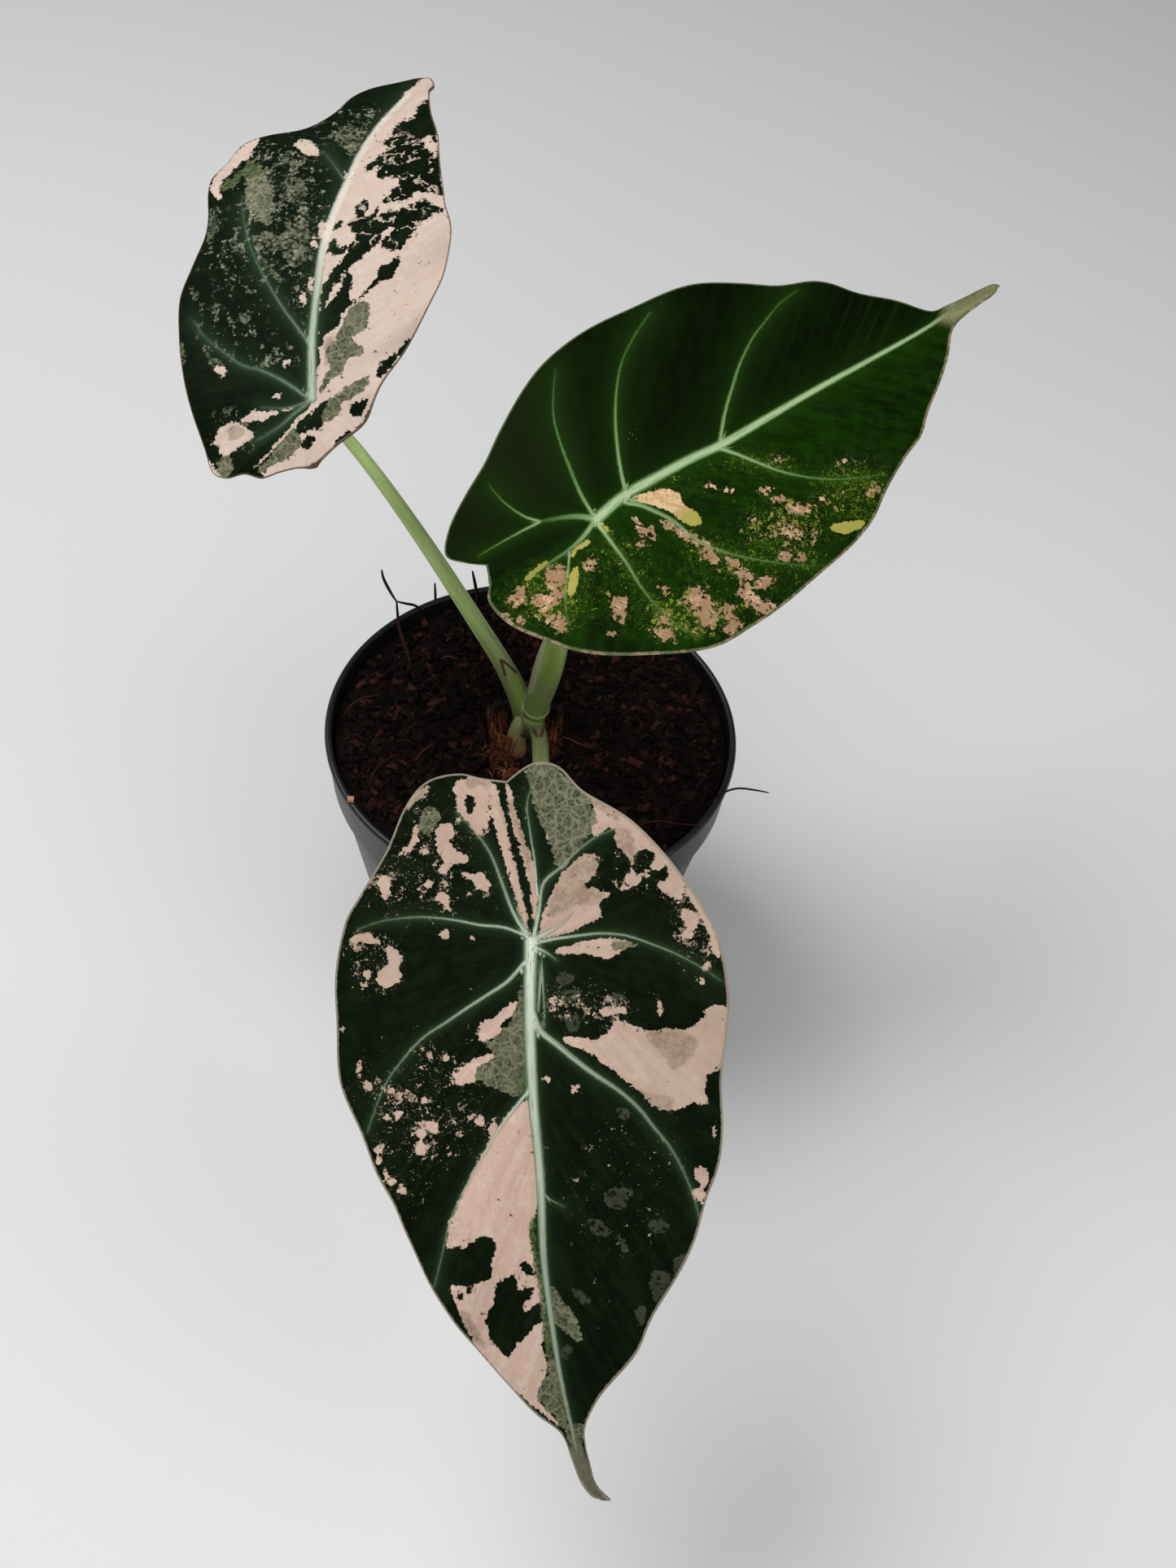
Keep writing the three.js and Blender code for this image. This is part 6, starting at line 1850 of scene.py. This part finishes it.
def husk_mound():
    """A low rough disc in the cuff: lumps and fine radial folds, with a skirt down to its foot."""
    widest = CUFF_INNER - 0.3
    radius = np.concatenate([[widest], np.linspace(widest, 0.3, HUSK_RINGS)])[:, None]
    angle = turns(HUSK_SIDES)
    rings = oval(CUFF_MIDDLE, radius, CUFF_DEPTH_SHARE, angle, HUSK_Z)
    folds = 0.25 * np.sin(31 * angle) * np.minimum(1, radius / 4)
    rings[..., 2] = HUSK_Z + 0.9 * lumps(2.4 * rings[..., 0], 2.4 * rings[..., 1]) + folds
    rings[0, :, 2] = HUSK_FOOT_Z
    return closed_rings(rings)


def husk_layer(random, t, middle, spread, count):
    """Fibres from the mound's edge that rise and lean over it: their routes and tones, the tones darker at
    the back as painted shade.
    """
    around = np.radians(random.normal(middle, spread, count))
    turn = around[:, None] + random.normal(0, 0.35, count)[:, None] * t
    reach = draws(random, count, 5.0, 3.4)[:, None] + draws(random, count, 0.3, 1.4)[:, None] * t
    height = HUSK_Z - 0.8 + draws(random, count, 1.2, 4.2)[:, None] * np.sin(1.7 * t)
    height = height - 2.0 * np.maximum(0, np.sin(turn)) * t
    # Painted light and shade: fibres on the front are painted lighter, those at the back darker.
    tone = random.random(count) * np.clip(0.5 - 0.6 * np.sin(around), 0.05, 1)
    return oval(CUFF_MIDDLE, reach, CUFF_DEPTH_SHARE, turn, height), tone


def fuzz_tuft(random, t, middle_x, middle_y, spread_x, spread_y, count, tone):
    """Short curled fibres arched over the soil: their routes and tones."""
    heading = random.random(count)[:, None] * 2 * math.pi + random.normal(0, 1.6, count)[:, None] * t
    length = draws(random, count, 1.0, 3.2, 2)[:, None]
    x = random.normal(middle_x, spread_x, count)[:, None] + length * (t - 0.5) * np.cos(heading)
    y = random.normal(middle_y, spread_y, count)[:, None] + length * (t - 0.5) * np.sin(heading)
    arch = draws(random, count, 0.4, 1.6)[:, None] * np.sin(math.pi * t)
    routes = np.stack([x, y, mound_z(np.hypot(x, y)) - 0.1 + arch], -1)
    return routes, tone * draws(random, count, 0.4, 0.8)


def build_husk(material, random):
    """Torn sheath bases in the cuff: a low rough mound and fibres that lean over it, thickest to
    the left and right of the front petiole, and tufts of loose fuzz on the soil in front."""
    t = np.linspace(0, 1, HUSK_STRAND_POINTS)
    groups = [husk_layer(random, t, *layer) for layer in HUSK_LAYERS.values()]
    groups += [fuzz_tuft(random, t, *tuft) for tuft in FUZZ_TUFTS.values()]
    routes, tones = (np.concatenate(part) for part in zip(*groups))
    pushed = keep_off_stems(routes.reshape(-1, 3), HUSK_GAP).reshape(routes.shape)
    clear = (pushed == routes).all((1, 2))
    routes, tones = routes[clear], tones[clear]
    *strands, each = many_strands(routes, draws(random, len(routes), 0.06, 0.10))
    mound = husk_mound()
    tone = np.concatenate([np.full(len(mound[0]), HUSK_TONE), np.repeat(tones, each)])
    made = make_mesh("sheath_husk", *join_parts([mound, strands]), material, attributes={"tone": tone})
    return belongs(made, "dry_sheath")


def sheath_material():
    """Dry fibrous brown, grained along z, from near-black to straw by the tone of each strand."""
    kit = Kit("dry sheath")
    grain = kit.noise(2.2, 4, 0.7, stretch=(1, 1, 0.18))
    patch = kit.noise(0.4, 3, 0.6)
    tone = kit.attribute("tone") + grain * 0.9 + patch * 0.6
    colour = kit.mix(tone.ramp(0.0, 0.6), srgb(24, 12, 6), srgb(118, 60, 28))
    colour = kit.mix(tone.ramp(0.6, 1.0), colour, srgb(186, 126, 78))
    return kit.surface(colour, 0.78 + grain * 0.15, kit.bump(grain, 0.3, 0.8), 0.3)


# Floor and light
FLOOR_HALF = 3000.0
FLOOR_Z = -0.05
FLOOR_COLOUR = (0.62, 0.62, 0.61, 1)
# Disc lights: place, aim, width in mm, watts
LIGHTS = {
    "key": ((-420, 120, 900), (0, -20, 120), 620, 8.2),
    "fill": ((520, -420, 700), (0, -20, 120), 700, 3.0),
    "front": ((-60, -760, 640), (0, -60, 120), 600, 2.4),
}
SKY_COLOUR = (0.9, 0.93, 1, 1)
SKY_STRENGTH = 0.22


def build_stage():
    corners = [(x * FLOOR_HALF, y * FLOOR_HALF, FLOOR_Z) for x, y in ((-1, -1), (1, -1), (1, 1), (-1, 1))]
    material = Kit("studio floor").surface(FLOOR_COLOUR, 0.9)
    floor = make_mesh("floor", corners, [(0, 1, 2, 3)], material, smooth=False)


def area_light(name, place_mm, aim_mm, size_mm, watts):
    data = bpy.data.lights.new(name, "AREA")
    data.shape = "DISK"
    data.size = size_mm * MM
    data.energy = watts
    light = bpy.data.objects.new(name, data)
    bpy.context.collection.objects.link(light)
    place = np.array(place_mm, float)
    back = unit(place - np.array(aim_mm, float))
    side = unit(np.cross([0, 0, 1.0], back))
    up = np.cross(back, side)
    turn = Matrix([[side[i], up[i], back[i]] for i in range(3)]).to_4x4()
    turn.translation = place * MM
    light.matrix_world = turn


def light_scene():
    for name, light in LIGHTS.items():
        area_light(name, *light)
    world = bpy.data.worlds.new("studio")
    world.use_nodes = True
    sky = world.node_tree.nodes["Background"].inputs
    sky["Color"].default_value = SKY_COLOUR
    sky["Strength"].default_value = SKY_STRENGTH
    bpy.context.scene.world = world
    bpy.context.scene.view_settings.view_transform = "Standard"


random = np.random.default_rng(7)
coco = soil_material()
build_pot(pot_material())
build_soil(coco)
build_chips(coco, random)
build_fibres(coco, random)
build_petioles(petiole_material())
dry = sheath_material()
build_cuff(dry, random)
build_husk(dry, random)
for leaf_name in LEAVES:
    upper_side = blade_upper(leaf_name + " blade", leaf_name)
    build_blade(leaf_name, upper_side, blade_lower(leaf_name + " blade under"))
build_stage()
light_scene()
add_camera()
